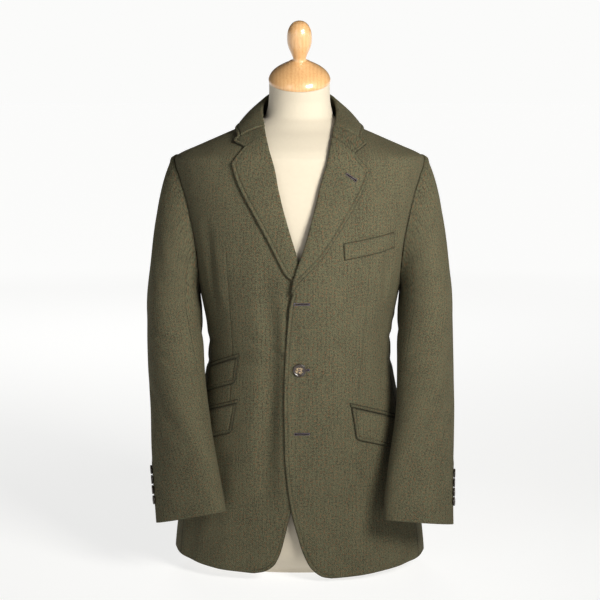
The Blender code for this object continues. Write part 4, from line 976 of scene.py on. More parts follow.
@once
def herringbone_tweed():
    """Woollen herringbone tweed, woven and fulled: matt, with a soft nap that catches the light at
    the sides, a fine grain of mixed yarns 1 to 1.5 mm thick, and columns 7 mm wide whose twill
    lines turn back. The lines lie 4 mm apart, coarser than woven, so that they show."""
    colour, size = colours(), sizes()
    made, tree, shader = new_material(
        "herringbone_tweed", roughness=0.95, specular_ior_level=0.15, sheen_weight=0.03,
        sheen_roughness=0.6, sheen_tint=rgba(linear("#B8AC88")))
    uv, across, up = cloth_place(tree)
    turned = math_node(tree, "PINGPONG", across, size.column)
    twill = math_node(tree, "SINE", math_node(
        tree, "MULTIPLY", math_node(tree, "ADD", up, turned), 2 * math.pi / size.twill))

    def grains(wide, tall, detail=2.0, shift=0.0):
        """Unevenness with grains of the given sizes in millimetres across and up the cloth."""
        scaled = add_node(tree, "ShaderNodeMapping",
                          {0: uv, 1: (shift, shift, 0), 3: (1000 / wide, 1000 / tall, 1.0)})
        return noise(tree, scaled, 1.0, detail, noise_dimensions="2D")

    yarn, warp, weft = grains(2.2, 2.8), grains(2.8, 26.0, shift=3.1), grains(34.0, 2.8, shift=5.3)
    patch = grains(38.0, 60.0, shift=8.7)
    turn_line = math_node(tree, "ABSOLUTE", math_node(tree, "SUBTRACT", turned, size.column / 2))
    turn_line = stepped(tree, turn_line, size.column * 0.36, size.column * 0.5, 0.10)
    tone = math_node(tree, "MULTIPLY_ADD", twill, 0.055, yarn)
    tone = math_node(tree, "SUBTRACT", tone, turn_line)
    for part, weight in ((warp, 0.30), (weft, 0.12), (patch, 0.18)):
        tone = added(tree, tone, part, weight)
    base = mix_colours(tree, stepped(tree, tone, 0.48, 1.02), rgba(colour.tweed_dark),
                       rgba(colour.tweed_light))
    rust = stepped(tree, grains(3.4, 3.0, 0.0, 11.9), 0.66, 0.76, 0.42)
    moss = stepped(tree, grains(3.0, 3.8, 0.0, 17.3), 0.66, 0.76, 0.40)
    base = mix_colours(tree, rust, base, rgba(colour.rust))
    base = mix_colours(tree, moss, base, rgba(colour.moss))
    # Painted shade: the colour falls towards a third of the dark yarn where the attribute groove
    # says, along edges, stitched grooves and darts
    groove = add_node(tree, "ShaderNodeAttribute", attribute_name="groove").outputs[2]
    base = mix_colours(tree, math_node(tree, "MULTIPLY", groove, 0.8), base,
                       rgba(colour.tweed_dark, 0.34))
    feed(shader, "Base Color", base)
    relief = math_node(tree, "ADD", math_node(tree, "MULTIPLY", twill, 0.22), yarn)
    bumped(shader, added(tree, relief, warp, 0.35), 0.55, 0.0007)
    return made


def twisted(name, colour, **finish):
    """A thread, with the uneven tone of its plies in grains of about 1 mm."""
    made, tree, shader = new_material(name, base_color=rgba(colour), **finish)
    grain = noise(tree, object_place(tree), 900.0, 1.0)
    darker, lighter = ([min(1.0, c * k) for c in colour] for k in (0.7, 1.35))
    feed(shader, "Base Color", mix_colours(tree, grain, rgba(darker), rgba(lighter)))
    return made


@once
def thread():
    """Silk sewing thread, 0.45 mm: a little glossier than the wool and sunk into its groove."""
    return twisted("thread", colours().thread, roughness=0.6, sheen_weight=0.2)


@once
def purl_thread():
    """Buttonhole twist, dark plum silk laid in close purl stitches 0.85 mm apart."""
    return twisted("purl_thread", colours().purl, roughness=0.5, sheen_weight=0.2)


@once
def slit_shadow():
    """Painted shadow of a buttonhole's slit: near-black, on a strip laid just over the cloth where
    the cut edges of the wool meet.
    """
    return twisted("slit_shadow", colours().slit, roughness=1.0, specular_ior_level=0.05)


def horn(name, pale_share):
    """Polished buffalo horn: beige streaks in the middle, dark blotches of 4 to 6 mm towards the
    rim, under a clear polish."""
    colour = colours()
    made, tree, shader = new_material(name, roughness=0.30, ior=1.56, coat_weight=0.35,
                                      coat_roughness=0.12)
    place = object_place(tree)
    blotch = noise(tree, place, 210.0, 3.0, 0.7)
    streak = add_node(tree, "ShaderNodeTexWave",
                      {"Vector": place, "Scale": 130.0, "Distortion": 9.0, "Detail": 3.0},
                      bands_direction="DIAGONAL").outputs[1]
    rim = add_node(tree, "ShaderNodeAttribute", attribute_name="rim").outputs[2]
    dark = added(tree, added(tree, blotch, rim, 0.62), streak, 0.16)
    share = stepped(tree, dark, 1.10 * pale_share, 1.10 * pale_share + 0.22)
    feed(shader, "Base Color", mix_colours(tree, share, rgba(colour.horn_pale),
                                           rgba(colour.horn_dark)))
    bumped(shader, blotch, 0.08, 0.0003)
    return made


@once
def mottled_horn():
    """The front button's horn, pale in the middle."""
    return horn("mottled_horn", 0.62)


@once
def dark_horn():
    """The cuff buttons' horn, dark nearly all over."""
    return horn("dark_horn", 0.30)


@once
def cotton_jersey():
    """Bleached cotton jersey, drawn tight: matt cream, with wales 1.4 mm apart and a faint slub."""
    pale = colours().jersey
    made, tree, shader = new_material("cotton_jersey", roughness=0.85, specular_ior_level=0.25,
                                      sheen_weight=0.15, sheen_roughness=0.5)
    uv, across, up = cloth_place(tree)
    wale, course = (
        math_node(tree, "SINE", math_node(tree, "MULTIPLY", along, 2 * math.pi / pitch))
        for along, pitch in ((across, 0.0014), (up, 0.0012)))
    slub = noise(tree, uv, 140.0, 3.0)
    feed(shader, "Base Color", mix_colours(tree, slub, rgba(pale, 0.93), rgba(pale)))
    knit = math_node(tree, "MULTIPLY", wale, course)
    bumped(shader, math_node(tree, "MULTIPLY_ADD", knit, 0.5, slub), 0.25, 0.0003)
    return made


@once
def varnished_beech():
    """Turned beech under a thick clear varnish: honey wood with fine grain along the axis, short
    dark pores 2 to 4 mm long, growth lines 5 mm apart and sharp reflections."""
    colour = colours()
    made, tree, shader = new_material("varnished_beech", roughness=0.38, ior=1.5, coat_weight=1.0,
                                      coat_roughness=0.06, coat_ior=1.5)
    upright = add_node(tree, "ShaderNodeMapping",
                       {0: object_place(tree), 2: (math.radians(-CAP_TILT), 0.0, 0.0)})
    stretched = add_node(tree, "ShaderNodeMapping", {0: upright, 3: (1.0, 1.0, 0.10)})
    grain = noise(tree, stretched, 420.0, 4.0)
    rings = add_node(tree, "ShaderNodeTexWave",
                     {"Vector": upright, "Scale": 48.0, "Distortion": 2.5, "Detail": 2.0,
                      "Detail Scale": 1.5}, bands_direction="X").outputs[1]
    tone = added(tree, math_node(tree, "MULTIPLY", grain, 0.7), rings, 0.18)
    wood = mix_colours(tree, stepped(tree, tone, 0.18, 0.78), rgba(colour.beech_pale),
                       rgba(colour.beech_dark))
    pore = stepped(tree, noise(tree, stretched, 900.0, 1.0), 0.62, 0.70, 0.35)
    feed(shader, "Base Color", mix_colours(tree, pore, wood, rgba(colour.beech_dark, 0.45)))
    return made


@once
def lit_floor():
    """Opal acrylic sheet, lit from below and a little more where the lamps don't reach: a plain
    pale ground with a soft, weak shadow. Its frosted face has a mottle of 3 mm that only just
    shows."""
    pale = colours().floor
    made, tree, shader = new_material("lit_floor", roughness=0.9, specular_ior_level=0.1,
                                      base_color=rgba(pale, 0.45))
    place = object_place(tree)
    mottle = noise(tree, place, 330.0)
    feed(shader, "Emission Color", mix_colours(tree, mottle, rgba(pale, 0.99), rgba(pale)))
    far = add_node(tree, "ShaderNodeVectorMath", {0: place}, operation="LENGTH").outputs["Value"]
    feed(shader, "Emission Strength",
         math_node(tree, "ADD", stepped(tree, far, 0.8, 4.5, 0.28), 1.10))
    return made


# ---- geometry nodes
def new_group(name, inputs):
    """A geometry node group with a geometry in, a geometry out and named inputs."""
    group = bpy.data.node_groups.new(name, "GeometryNodeTree")
    face = group.interface
    face.new_socket("Geometry", in_out="OUTPUT", socket_type="NodeSocketGeometry")
    for label, kind in (("Geometry", "Geometry"), *inputs, ("Material", "Material")):
        face.new_socket(label, in_out="INPUT", socket_type=f"NodeSocket{kind}")
    entry = group.nodes.new("NodeGroupInput")
    return group, {s.name: s for s in entry.outputs if s.name}


def finished_group(group, given, solids):
    """The group, with its solids made real and smooth, and given their material."""
    real = add_node(group, "GeometryNodeRealizeInstances", {0: solids})
    smooth = add_node(group, "GeometryNodeSetShadeSmooth", {0: real})
    done = add_node(group, "GeometryNodeSetMaterial", {0: smooth, "Material": given["Material"]})
    add_node(group, "NodeGroupOutput", {0: done})
    return group


def stitch_group():
    """Lays a stitch at every pitch along each line of the input mesh, turned from the line by an
    angle; the lines carry their outward direction in the attribute "out"."""
    group, given = new_group("stitch_run", (
        ("Pitch", "Float"), ("Length", "Float"), ("Thickness", "Float"), ("Turn", "Float"),
        ("Unevenness", "Float"), ("Seed", "Int")))
    put = partial(add_node, group)
    curve = put("GeometryNodeMeshToCurve", {0: given["Geometry"]})
    curve = put("GeometryNodeResampleCurve", {"Curve": curve, "Length": given["Pitch"]},
                mode="LENGTH")
    out = put("GeometryNodeInputNamedAttribute", {"Name": "out"}, data_type="FLOAT_VECTOR")
    stand = put("FunctionNodeAlignRotationToVector", {"Vector": out}, axis="Z")
    aimed = put("FunctionNodeAlignRotationToVector",
                {"Rotation": stand, "Vector": put("GeometryNodeInputTangent")},
                axis="X", pivot_axis="Z")
    uneven = given["Unevenness"]
    wobble = put("FunctionNodeRandomValue",
                 {2: math_node(group, "MULTIPLY", uneven, -1.0), 3: uneven, 8: given["Seed"]},
                 data_type="FLOAT").outputs[1]
    angle = math_node(group, "ADD", given["Turn"], wobble)
    swing = put("FunctionNodeAxisAngleToRotation", {"Axis": (0, 0, 1), "Angle": angle})
    turned = put("FunctionNodeRotateRotation", {0: aimed, 1: swing}, rotation_space="LOCAL")
    stitch = put("GeometryNodeMeshUVSphere", {"Segments": 6, "Rings": 5, "Radius": 0.5})
    scale = put("ShaderNodeCombineXYZ",
                {0: given["Length"], 1: given["Thickness"], 2: given["Thickness"]})
    return finished_group(group, given, put("GeometryNodeInstanceOnPoints", {
        "Points": curve, "Instance": stitch, "Rotation": turned, "Scale": scale}))


def turned_group():
    """Turns a solid round the line of the input mesh, which carries its radius in "radius"."""
    group, given = new_group("turned_solid", (("Segments", "Int"),))
    put = partial(add_node, group)
    curve = put("GeometryNodeMeshToCurve", {0: given["Geometry"]})
    radius = put("GeometryNodeInputNamedAttribute", {"Name": "radius"}, data_type="FLOAT")
    ring = put("GeometryNodeCurvePrimitiveCircle",
               {"Resolution": given["Segments"], "Radius": 1.0}, mode="RADIUS")
    return finished_group(group, given, put("GeometryNodeCurveToMesh", {
        "Curve": curve, "Profile Curve": ring, "Scale": radius, "Fill Caps": True}))


def through_nodes(name, group, lines, attribute, values):
    """Runs lines of points through a node group and returns the plain mesh that it makes."""
    points, edges = [], []
    for line, _ in lines:
        first = len(points)
        points += [tuple(p) for p in np.asarray(line) + SHIFT]
        edges += [(first + i, first + i + 1) for i in range(len(line) - 1)]
    data = np.concatenate([np.asarray(extra, float) for _, extra in lines])
    mesh = bpy.data.meshes.new(name + "_lines")
    mesh.from_pydata(points, edges, [])
    kind, field = ("FLOAT_VECTOR", "vector") if data.ndim == 2 else ("FLOAT", "value")
    mesh.attributes.new(attribute, kind, "POINT").data.foreach_set(field, data.ravel())
    source = new_object(mesh.name, mesh)
    modifier = source.modifiers.new("nodes", "NODES")
    modifier.node_group = group
    sockets = {i.name: i.identifier for i in group.interface.items_tree if i.in_out == "INPUT"}
    for label, value in values.items():
        modifier[sockets[label]] = value
    depsgraph = bpy.context.evaluated_depsgraph_get()
    result = bpy.data.meshes.new_from_object(source.evaluated_get(depsgraph), depsgraph=depsgraph)
    source.modifiers.remove(modifier)
    bpy.data.objects.remove(source, do_unlink=True)
    result.name = name
    if not len(result.polygons):
        raise RuntimeError(f"{name}: the node group made nothing")
    return new_object(name, result)


# ---- the jacket's body
def roll_heights(side, step):
    """Heights along a roll line, from its foot to the gorge."""
    foot, gorge = ROLL_LINES[side].key[0], GORGE_TOP[side]
    return np.linspace(foot, gorge, int(round((gorge - foot) / step)) + 1)


def make_front(side):
    """A front: hem, side seam, armhole, shoulder, neck, roll line, front edge and quarter."""
    roll_top = at(angle_at(ROLL_LINES[side].at("x", FRONT_TOP), FRONT_TOP), FRONT_TOP)
    quarter = np.stack(on_front(side, *evenly(FRONT_EDGES[side]).T), 1)
    bottom = hem(math.degrees(quarter[-1][0] / ROUND), side * SIDE_SEAMS[0])
    bottom[0] = quarter[-1]
    angles = np.linspace(SHOULDER_SEAM, abs(math.degrees(roll_top[0] / ROUND)), 40)
    neck = np.array([at(side * a, NECK_EDGE.at("height", a)) for a in angles[:-1]] + [roll_top])
    heights = np.append(roll_heights(side, PANEL_STEP), FRONT_TOP)
    roll = np.stack(on_front(side, ROLL_LINES[side].at("x", heights), heights), 1)
    outline = chain(bottom, side_seam(side, 0), sided(side, armhole(0, FRONT_OF_ARM))[::-1],
                    shoulder_seam(side), neck, roll[::-1], quarter)
    dart = np.stack(on_front(side, *evenly(DARTS[side], PANEL_STEP).T), 1)
    cloth_panel(f"Front_{SIDE_NAMES[side]}", outline, FRONT[side],
                finished=quarter, creases=[dart])


def make_side_body(side):
    """The narrow panel under the arm."""
    outline = chain(hem(side * SIDE_SEAMS[0], side * SIDE_SEAMS[1]), side_seam(side, 1),
                    sided(side, armhole(FRONT_OF_ARM, BACK_OF_ARM))[::-1],
                    side_seam(side, 0)[::-1])
    cloth_panel(f"Side_{SIDE_NAMES[side]}", outline, body)


def make_back(side):
    """Half the back; the right one runs on under the left one at the vent."""
    under = VENT_UNDERLAY if side == RIGHT else 0
    angles = np.linspace(SIDE_SEAMS[1], 180 + under, 50)
    bottom = np.array([at(side * a, HEM.at("height", side * min(a, 180))) for a in angles])
    foot, top = at(180 + under, HEM.at("height", 180)), at(180 + under, VENT_TOP)
    centre = straight(at(180, VENT_TOP), at(180, NECK_SEAM), PANEL_STEP)
    neck = np.array([at(side * a, NECK_SEAM) for a in np.linspace(180, SHOULDER_SEAM, 40)])
    outline = chain(bottom, sided(side, straight(foot, top, PANEL_STEP)), sided(side, centre),
                    neck, shoulder_seam(side)[::-1],
                    sided(side, armhole(BACK_OF_ARM, 360))[::-1], side_seam(side, 1)[::-1])
    cloth_panel(f"Back_{SIDE_NAMES[side]}", outline, BACK[side])


# ---- lapels and collar
def on_lapel(side, x, z):
    """The place (a, b) on a lapel that lies at x and z."""
    return side * (x - float(ROLL_LINES[side].at("x", z))), z


def belly(away):
    """How far the middle of a lapel springs up, by the distance from its edge."""
    return 0.0012 * bell(away - 0.028, 0.014)


def make_lapel(side):
    """A lapel with the fold that it rolls over, and its stitched edge."""
    foot, gorge = ROLL_LINES[side].key[0], GORGE_TOP[side]
    edge = [on_lapel(side, x, z) for x, z in LAPEL_EDGES[side]]
    notch = on_lapel(side, *NOTCH[side])
    outer, top = evenly(edge), straight(edge[-1], notch)
    fold = -math.pi * ROLL * np.linspace(1, 0, len(FOLD))
    heights = roll_heights(side, EDGE_STEP)
    under, *folds = (np.stack([np.full_like(heights, a), heights], 1) for a in fold)
    foot_fold, gorge_fold = (np.stack([fold, np.full_like(fold, z)], 1) for z in (foot, gorge))
    outline = counter_clockwise(chain(
        foot_fold, straight((0.0, foot), edge[0]), outer, top,
        straight((0.0, gorge), notch)[::-1], gorge_fold[::-1], under[::-1]))
    finished = np.concatenate([outer, top[1:]])
    flat, faces = filled_round_fold(outline, finished, [line[1:-1] for line in folds])
    u, v = flat.T
    surface = LAPEL[side]
    middle, out = surface(u, v), normals(surface, u, v)
    if side == RIGHT:
        out = -out
        faces = [f[::-1] for f in faces]
    name = f"Lapel_{SIDE_NAMES[side]}"
    EDGES[side] = surface(*finished.T)
    edge = far_from(middle, surface(*outline.T), closed=True)
    away = far_from(middle, EDGES[side])
    half = rounded(edge, sizes().cloth)
    rise = half + swell(away) + belly(away) * (u > 0)
    stitch_run(name, EDGES[side], middle, out, sizes().cloth)
    uv = slanted_grain(-21)(np.maximum(u, 0), v)
    sewn(name, middle, faces, out, rise, half, uv, stitched_shade(away, edge))


def filled_round_fold(outline, finished, folds):
    """Like filled, with the rows of points of a fold kept as they are."""
    flat, _ = filled(outline, finished, [], sizes().mesh_step * 0.85)
    keep = flat[len(outline):]
    keep = keep[(far_from(keep, folds[-1]) > FOLD_CLEAR) & (keep[:, 0] > 0)]
    everything = np.concatenate([outline, keep, *folds])
    keys = np.round(everything / SAME_IN_FOLD).astype(int)
    order = np.sort(np.unique(keys, axis=0, return_index=True)[1])
    order = np.concatenate([np.arange(len(outline)), order[order >= len(outline)]])
    return triangulated(everything[order], len(outline))


def crease_point(side, station):
    """A point of the collar's crease."""
    return np.array([COLLAR.at("crease_" + axis, station) for axis in "xyz"]) * (side, 1, 1)


STAND = (0.0, 0.2, 0.4, 0.6, 0.8)  # shares of the way up the stand
FOLD = np.linspace(0, 1, 9)  # shares of the way over the crease
FALL = np.concatenate([np.linspace(0.04, 0.72, 18), np.linspace(0.735, 1, 24)])  # down the fall
NOTCH_AT = 0.75  # share of the way down the front end where the notch lies


def collar_row(side, station):
    """Points across the collar: up the stand, over the crease and down the fall."""
    crease = crease_point(side, station)
    seam_angle = float(COLLAR.at("seam", station))
    u, v = (np.array(n) for n in at(side * seam_angle, STAND_LINE.at("height", seam_angle)))
    cloth = sizes().cloth
    root = body(u, v) + normals(body, u, v) * (cloth / 2 + SEAM + STAND_FOOT)
    edge_place = at(side * COLLAR.at("edge_angle", station), COLLAR.at("edge_height", station))
    edge = moved_out(body, cloth + TURNED_CLEAR)(*(np.array(n) for n in edge_place))
    if station == 0:
        along = np.array([1.0, 0.0, 0.0])
    else:
        step = min(0.2, COLLAR.key[-1] - station + 0.01)
        along = side * (crease_point(side, station + step) - crease_point(side, station - 0.2))
    fall = unit(edge - crease)
    out = unit(np.cross(along, fall))
    over = crease + 2 * ROLL * out
    row = [root + (crease - root) * t for t in STAND]
    row += [crease + ROLL * out * (1 - math.cos(math.pi * t)) - ROLL * fall * math.sin(math.pi * t)
            for t in FOLD]
    for w in FALL:
        bulge = 0.0042 * math.sin(math.pi * w) * (1 - 0.35 * station / 8)
        row.append(over + (edge - over) * w + out * bulge)
    return row


def collar_front(side, share):
    """A row of the front end, where the crease runs on down the roll line; share 1 is the gorge."""
    x, z = COLLAR_POINT[side]
    top = np.array([0.0, COLLAR_FRONT_TOP])
    tip = np.array(on_lapel(side, x - side * 0.0035, z + 0.0075))
    point = np.array(on_lapel(side, x, z))
    start, notch = np.array([0.0, GORGE_TOP[side]]), np.array(on_lapel(side, *NOTCH[side]))
    height = COLLAR_FRONT_TOP * (1 - share) + GORGE_TOP[side] * share
    turns = [0.6 - 0.1 * t for t in STAND] + [0.5 - 0.5 * t for t in FOLD]
    folds = np.array([(-math.pi * ROLL * t, height) for t in turns])
    w = FALL[:, None]
    first = top + (tip - top) * w
    last = np.where(w < NOTCH_AT, start + (notch - start) * w / NOTCH_AT,
                    notch + (point - notch) * (w - NOTCH_AT) / (1 - NOTCH_AT))
    across = np.concatenate([folds, first * (1 - share) + last * share])
    return list(LAPEL[side](across[:, 0], across[:, 1]))


def refined(rows, count):
    """Smooth rows between the given ones, count to each step."""
    rows = np.asarray(rows)
    far = np.linalg.norm(np.diff(rows, axis=0), axis=2).mean(1)
    key = np.concatenate([[0], np.cumsum(far)])
    slope = np.gradient(rows, key, axis=0)
    made = []
    for i in range(len(rows) - 1):
        h = key[i + 1] - key[i]
        for t in np.arange(count) / count:
            rise, bend = t * t * (3 - 2 * t), t * (1 - t)
            made.append(rows[i] * (1 - rise) + rows[i + 1] * rise
                        + h * bend * ((1 - t) * slope[i] - t * slope[i + 1]))
    return np.array(made + [rows[-1]])


def make_collar():
    """The collar in one piece from point to point, with its stitched edge."""
    left, right = ([collar_row(side, 0.5 * i) for i in range(16)]
                   + [collar_front(side, share) for share in (0, 0.25, 0.5, 0.75, 1)]
                   for side in (LEFT, RIGHT))
    rows = refined(right[::-1] + left[1:], 8)
    out = grid_normals(rows)
    stand = len(STAND) + len(FOLD)
    centre = rows[len(rows) // 2, -1]
    if out[len(rows) // 2, -1] @ (centre - np.array([0, 0, centre[2]])) < 0:
        out = -out
    notch = stand + int(np.argmin(np.abs(FALL - NOTCH_AT)))
    stitched = np.concatenate([rows[0, notch:-1], rows[:, -1], rows[-1, notch:-1][::-1]])
    ditch = np.zeros(rows.shape[:2], bool)
    ditch[:, stand + 2:] = True
    along, across = lengths_along(rows[:, -1]), lengths_along(rows[len(rows) // 2])
    uv = np.stack(np.broadcast_arrays(along[:, None], across[None, :]), -1)
    grid_piece("Collar", rows, out, uv,
               stitched=stitched, ditch=ditch)


# ---- sleeves
def arm_section(side, turn, height):
    """A point of the sleeve below the armhole."""
    a = np.radians(turn)
    swing = np.radians(SLEEVE.at("turn", height))
    thick, long = SLEEVE.at("thick", height), SLEEVE.at("long", height)
    flat = thick * np.cos(a) * (1 + SLEEVE_SQUARE * np.sin(a) ** 2)
    deep = long * np.sin(a) * (1 + SLEEVE_SQUARE * np.cos(a) ** 2)
    out = flat * np.cos(swing) - deep * np.sin(swing)
    ahead = flat * np.sin(swing) + deep * np.cos(swing)
    label = SIDE_NAMES[side]
    x = SLEEVE.at("x_" + label, height) + out
    y = -SLEEVE.at("forward", height) - ahead
    z = (height - SLEEVE.at("rise_in_" + label, height) * out
         + SLEEVE.at("rise_front", height) * ahead)
    return np.stack(np.broadcast_arrays(side * x, y, z), -1)


def armhole_frame(turn):
    """On the left armhole: its point, the torso's normal, and the way into the hole."""
    def place(t):
        return at(float(ARMHOLE.at("angle", t % 360)), float(ARMHOLE.at("height", t % 360)))
    u, v = (np.array(n) for n in place(turn))
    point, out = smooth_body(u, v), normals(smooth_body, u, v)
    before, after = (smooth_body(*map(np.array, place(turn + d))) for d in (-4, 4))
    into = unit(np.cross(out, after - before))
    if into @ (np.array([0.19, 0.0, 0.62]) - point) < 0:
        into = -into
    return point, out, into


def sleeve_start(turn):
    """Where the sleeve's wall begins at the armhole, and its direction and normal there."""
    point, out, into = armhole_frame(turn)
    leave = turn % 360
    way = unit(np.array([ARMHOLE.at("out", leave), -ARMHOLE.at("forward", leave),
                         -ARMHOLE.at("down", leave)]))
    bend = math.atan2(way @ out, way @ into)
    half = sizes().cloth / 2
    if bend < math.pi / 2:
        past = half * math.sin(max(bend, 0))
        above = (half + SEAM) * float(ease((bend - math.radians(60)) / math.radians(30)))
    else:
        past = (half + SEAM) * float(ease((math.radians(120) - bend) / math.radians(30)))
        above = half + SEAM + half * abs(math.cos(bend))
    start = point + into * past + out * above
    way = into * math.cos(bend) + out * math.sin(bend)
    return start, way, out * math.cos(bend) - into * math.sin(bend)


HEAD_STEPS = np.concatenate([[0, 0.004, 0.010, 0.020], np.linspace(0.035, 0.985, 30)])
ARM_STEPS = np.concatenate([np.linspace(0, 0.985, 76), [0.990, 0.9945, 0.9972, 0.9988, 1.0]])
CREST = 0.0032  # how far the sleeve head stands up just past the shoulder seam
CREASED_FROM = 0.004  # how far from the armhole and the cuff the creases begin
VENT_LAP = 0.0012  # how far the top sleeve laps over the under one at the cuff's vent
VENT_HIGH = 0.215  # height at which that vent ends
FADE = 0.030  # length over which the head's combing and the creases set in


def sleeve_line(side, turn):
    """A line of points down the sleeve with its outward lift, from the armhole to the cuff."""
    start, way, normal = sleeve_start(turn)
    mirror = np.array([side, 1, 1])
    start, way, normal = start * mirror, way * mirror, normal * mirror
    end = arm_section(side, turn, BICEP)
    lower = arm_section(side, turn, BICEP - 0.010)
    pull_in = start + way * SLEEVE_HEAD.at("start", turn % 360)
    pull_out = end + unit(end - lower) * SLEEVE_HEAD.at("end", turn % 360)
    t = HEAD_STEPS[:, None]
    head = (start * (1 - t) ** 3 + pull_in * 3 * t * (1 - t) ** 2
            + pull_out * 3 * t * t * (1 - t) + end * t ** 3)
    arm = arm_section(side, turn, BICEP + (CUFF[side] - BICEP) * ARM_STEPS)
    return np.concatenate([head, arm]), normal


def combed(rows, turns, share):
    """The rows of a sleeve with the bunched lines of its head spread evenly."""
    near = np.exp(-0.5 * ((turns[:, None] - turns) / 7.0) ** 2)
    even = np.einsum("ij,kjc->kic", near / near.sum(1, keepdims=True), rows)
    return rows + (even - rows) * share[..., None]


def make_sleeve(side, part, first, last):
    """A part of a sleeve between two of its seams, with its creases."""
    ends = np.array([0.0, 0.5, 1.2, 2.6])
    count = int((last - first - 10) / (2.7)) + 1
    inner = np.linspace(first + 5, last - 5, count)
    turns = np.concatenate([[first - 3], first + ends, inner, last - ends[::-1], [last + 3]])
    made = [sleeve_line(side, t) for t in turns]
    rows = np.stack([line for line, _ in made], 1)
    from_seam = np.concatenate([np.zeros((1, len(turns))),
                                np.cumsum(np.linalg.norm(np.diff(rows, axis=0), axis=2), axis=0)])
    leave = (turns + 180) % 360 - 180
    rows = combed(rows, turns, ease(from_seam / FADE) * ease((55 - np.abs(leave)) / 25))
    out = grid_normals(rows)
    given = np.array([normal for _, normal in made])
    if (out[10] * given).sum() < 0:
        out = -out
    blend = ease(np.linspace(0, 1, 8))[:, None, None]
    out[:8] = unit(given * (1 - blend) + out[:8] * blend)
    high = rows[..., 2]
    wide_turns = np.broadcast_to(turns, high.shape)
    push = sum(crease_height(SLEEVE_CREASES[side], wide_turns + full, high, TURN_LENGTH)
               for full in (-360, 0, 360))
    push = push * ease((from_seam - CREASED_FROM) / FADE)
    push = push * ease((high - CUFF[side] - CREASED_FROM) / FADE)
    push = push + CREST * bell(from_seam - 0.0065, 0.0045) * ease((62 - np.abs(leave)) / 40)
    if part == "top":
        lap = ease((HIND_SEAM - 360 + 22 - wide_turns) / 8) * ease((VENT_HIGH - high) / 0.012)
        push = push + VENT_LAP * lap
    rows, out, push = rows[:, 1:-1], out[:, 1:-1], push[:, 1:-1]
    middle = rows + out * push[..., None]
    down = -from_seam[:, [len(turns) // 2]]
    uv = np.stack(np.broadcast_arrays(turns[1:-1] * TURN_LENGTH, down), -1)
    label = SIDE_NAMES[side]
    grid_piece(f"Sleeve_{part}_{label}", middle, out, uv,
               pressed=2.5)


# ---- pockets
def over_front(side, extra=0.0):
    """The surface on which what is sewn to a front lies."""
    size = sizes()
    return moved_out(FRONT[side], size.cloth / 2 + LAID + size.trim / 2 + extra)


def corner_arc(centre, radius, first, last, count):
    """Places on a quarter circle."""
    angles = np.radians(np.linspace(first, last, count + 1))
    return np.stack([centre[0] + radius * np.cos(angles), centre[1] + radius * np.sin(angles)], 1)


def make_pocket(name, side, x, height, long, drop):
    """A flap with one rounded corner and a stitched edge, and the jet over it."""
    u0, v0 = (float(n) for n in on_front(LEFT, abs(x), height))
    u1, v1 = u0 + long, v0 - POCKET_SLANT * long
    tilt = math.degrees(math.atan(POCKET_SLANT))
    arc_centre = (u0 + FLAP_IN + FLAP_CORNER, v0 - drop + FLAP_CORNER * 0.75)
    arc = corner_arc(arc_centre, FLAP_CORNER, 180, 270 - tilt, 10)
    back_bottom = (u1 - FLAP_IN, arc[-1][1] - POCKET_SLANT * (u1 - arc[-1][0]))
    front_side = straight((u0, v0), arc[0])
    bottom = straight(arc[-1], back_bottom)
    outline = chain(front_side, arc, bottom, straight(back_bottom, (u1, v1)),
                    straight((u1, v1), (u0, v0)))
    finished = chain(front_side, arc, bottom)
    low = v0 + JET_GAP + POCKET_SLANT * JET_REACH
    jet = chain(straight((u0 - JET_REACH, low), (u1, v1 + JET_GAP)),
                straight((u1, v1 + JET_GAP + JET_TALL), (u0 - JET_REACH, low + JET_TALL)))
    trim = sizes().trim
    # Flaps and jets get the darkest and widest painted shadow round their edges
    cloth_panel(name, sided(side, outline), over_front(side), wall=trim, painted_edge_shade=1.0,
                finished=sided(side, finished))
    cloth_panel(name.replace("Flap", "Jet"), sided(side, jet), over_front(side), wall=trim,
                puff=0.0004, painted_edge_shade=1.0, grain=slanted_grain(side * tilt))


def make_welt():
    """The welt of the breast pocket, which climbs towards the arm."""
    corners = [on_front(LEFT, x, z) for x, z in WELT_CORNERS]
    sides = [straight(a, b) for a, b in zip(corners, corners[1:] + corners[:1])]
    # The welt gets a dark painted shadow round its edge
    cloth_panel("Welt_breast_left", chain(*sides), over_front(LEFT, -0.0005),
                wall=sizes().trim, painted_edge_shade=0.8)


# ---- buttons and buttonholes
BUTTON_PROFILE = (
    (0.52, 0.0000), (0.80, 0.0000), (0.92, 0.0003), (0.985, 0.0010), (1.00, 0.0018),
    (0.985, 0.0027), (0.94, 0.0034), (0.88, 0.0036), (0.82, 0.0034), (0.74, 0.0029),
    (0.64, 0.0025), (0.52, 0.0023),
)
FRONT_BUTTON, CUFF_BUTTON = 0.0230, 0.0162  # diameters
HOLE_RADIUS, HOLE_APART, HOLE_SIDES = 0.0011, 0.0021, 14  # of the front button
CUFF_BUTTON_FLATTER = 0.8
TIE_RADIUS = 0.00038


def facing(out):
    """The turn that brings +Z to the direction out."""
    return np.array(Vector((0, 0, 1)).rotation_difference(Vector(out)).to_matrix())


def ring_of(radius, count, middle=(0.0, 0.0)):
    angles = np.linspace(0, 2 * math.pi, count, endpoint=False)
    return [(middle[0] + radius * math.cos(a), middle[1] + radius * math.sin(a)) for a in angles]


def band(first, second, count):
    """The faces between two rings of count points, given by the first point of each."""
    return [(first + j, first + (j + 1) % count, second + (j + 1) % count, second + j)
            for j in range(count)]


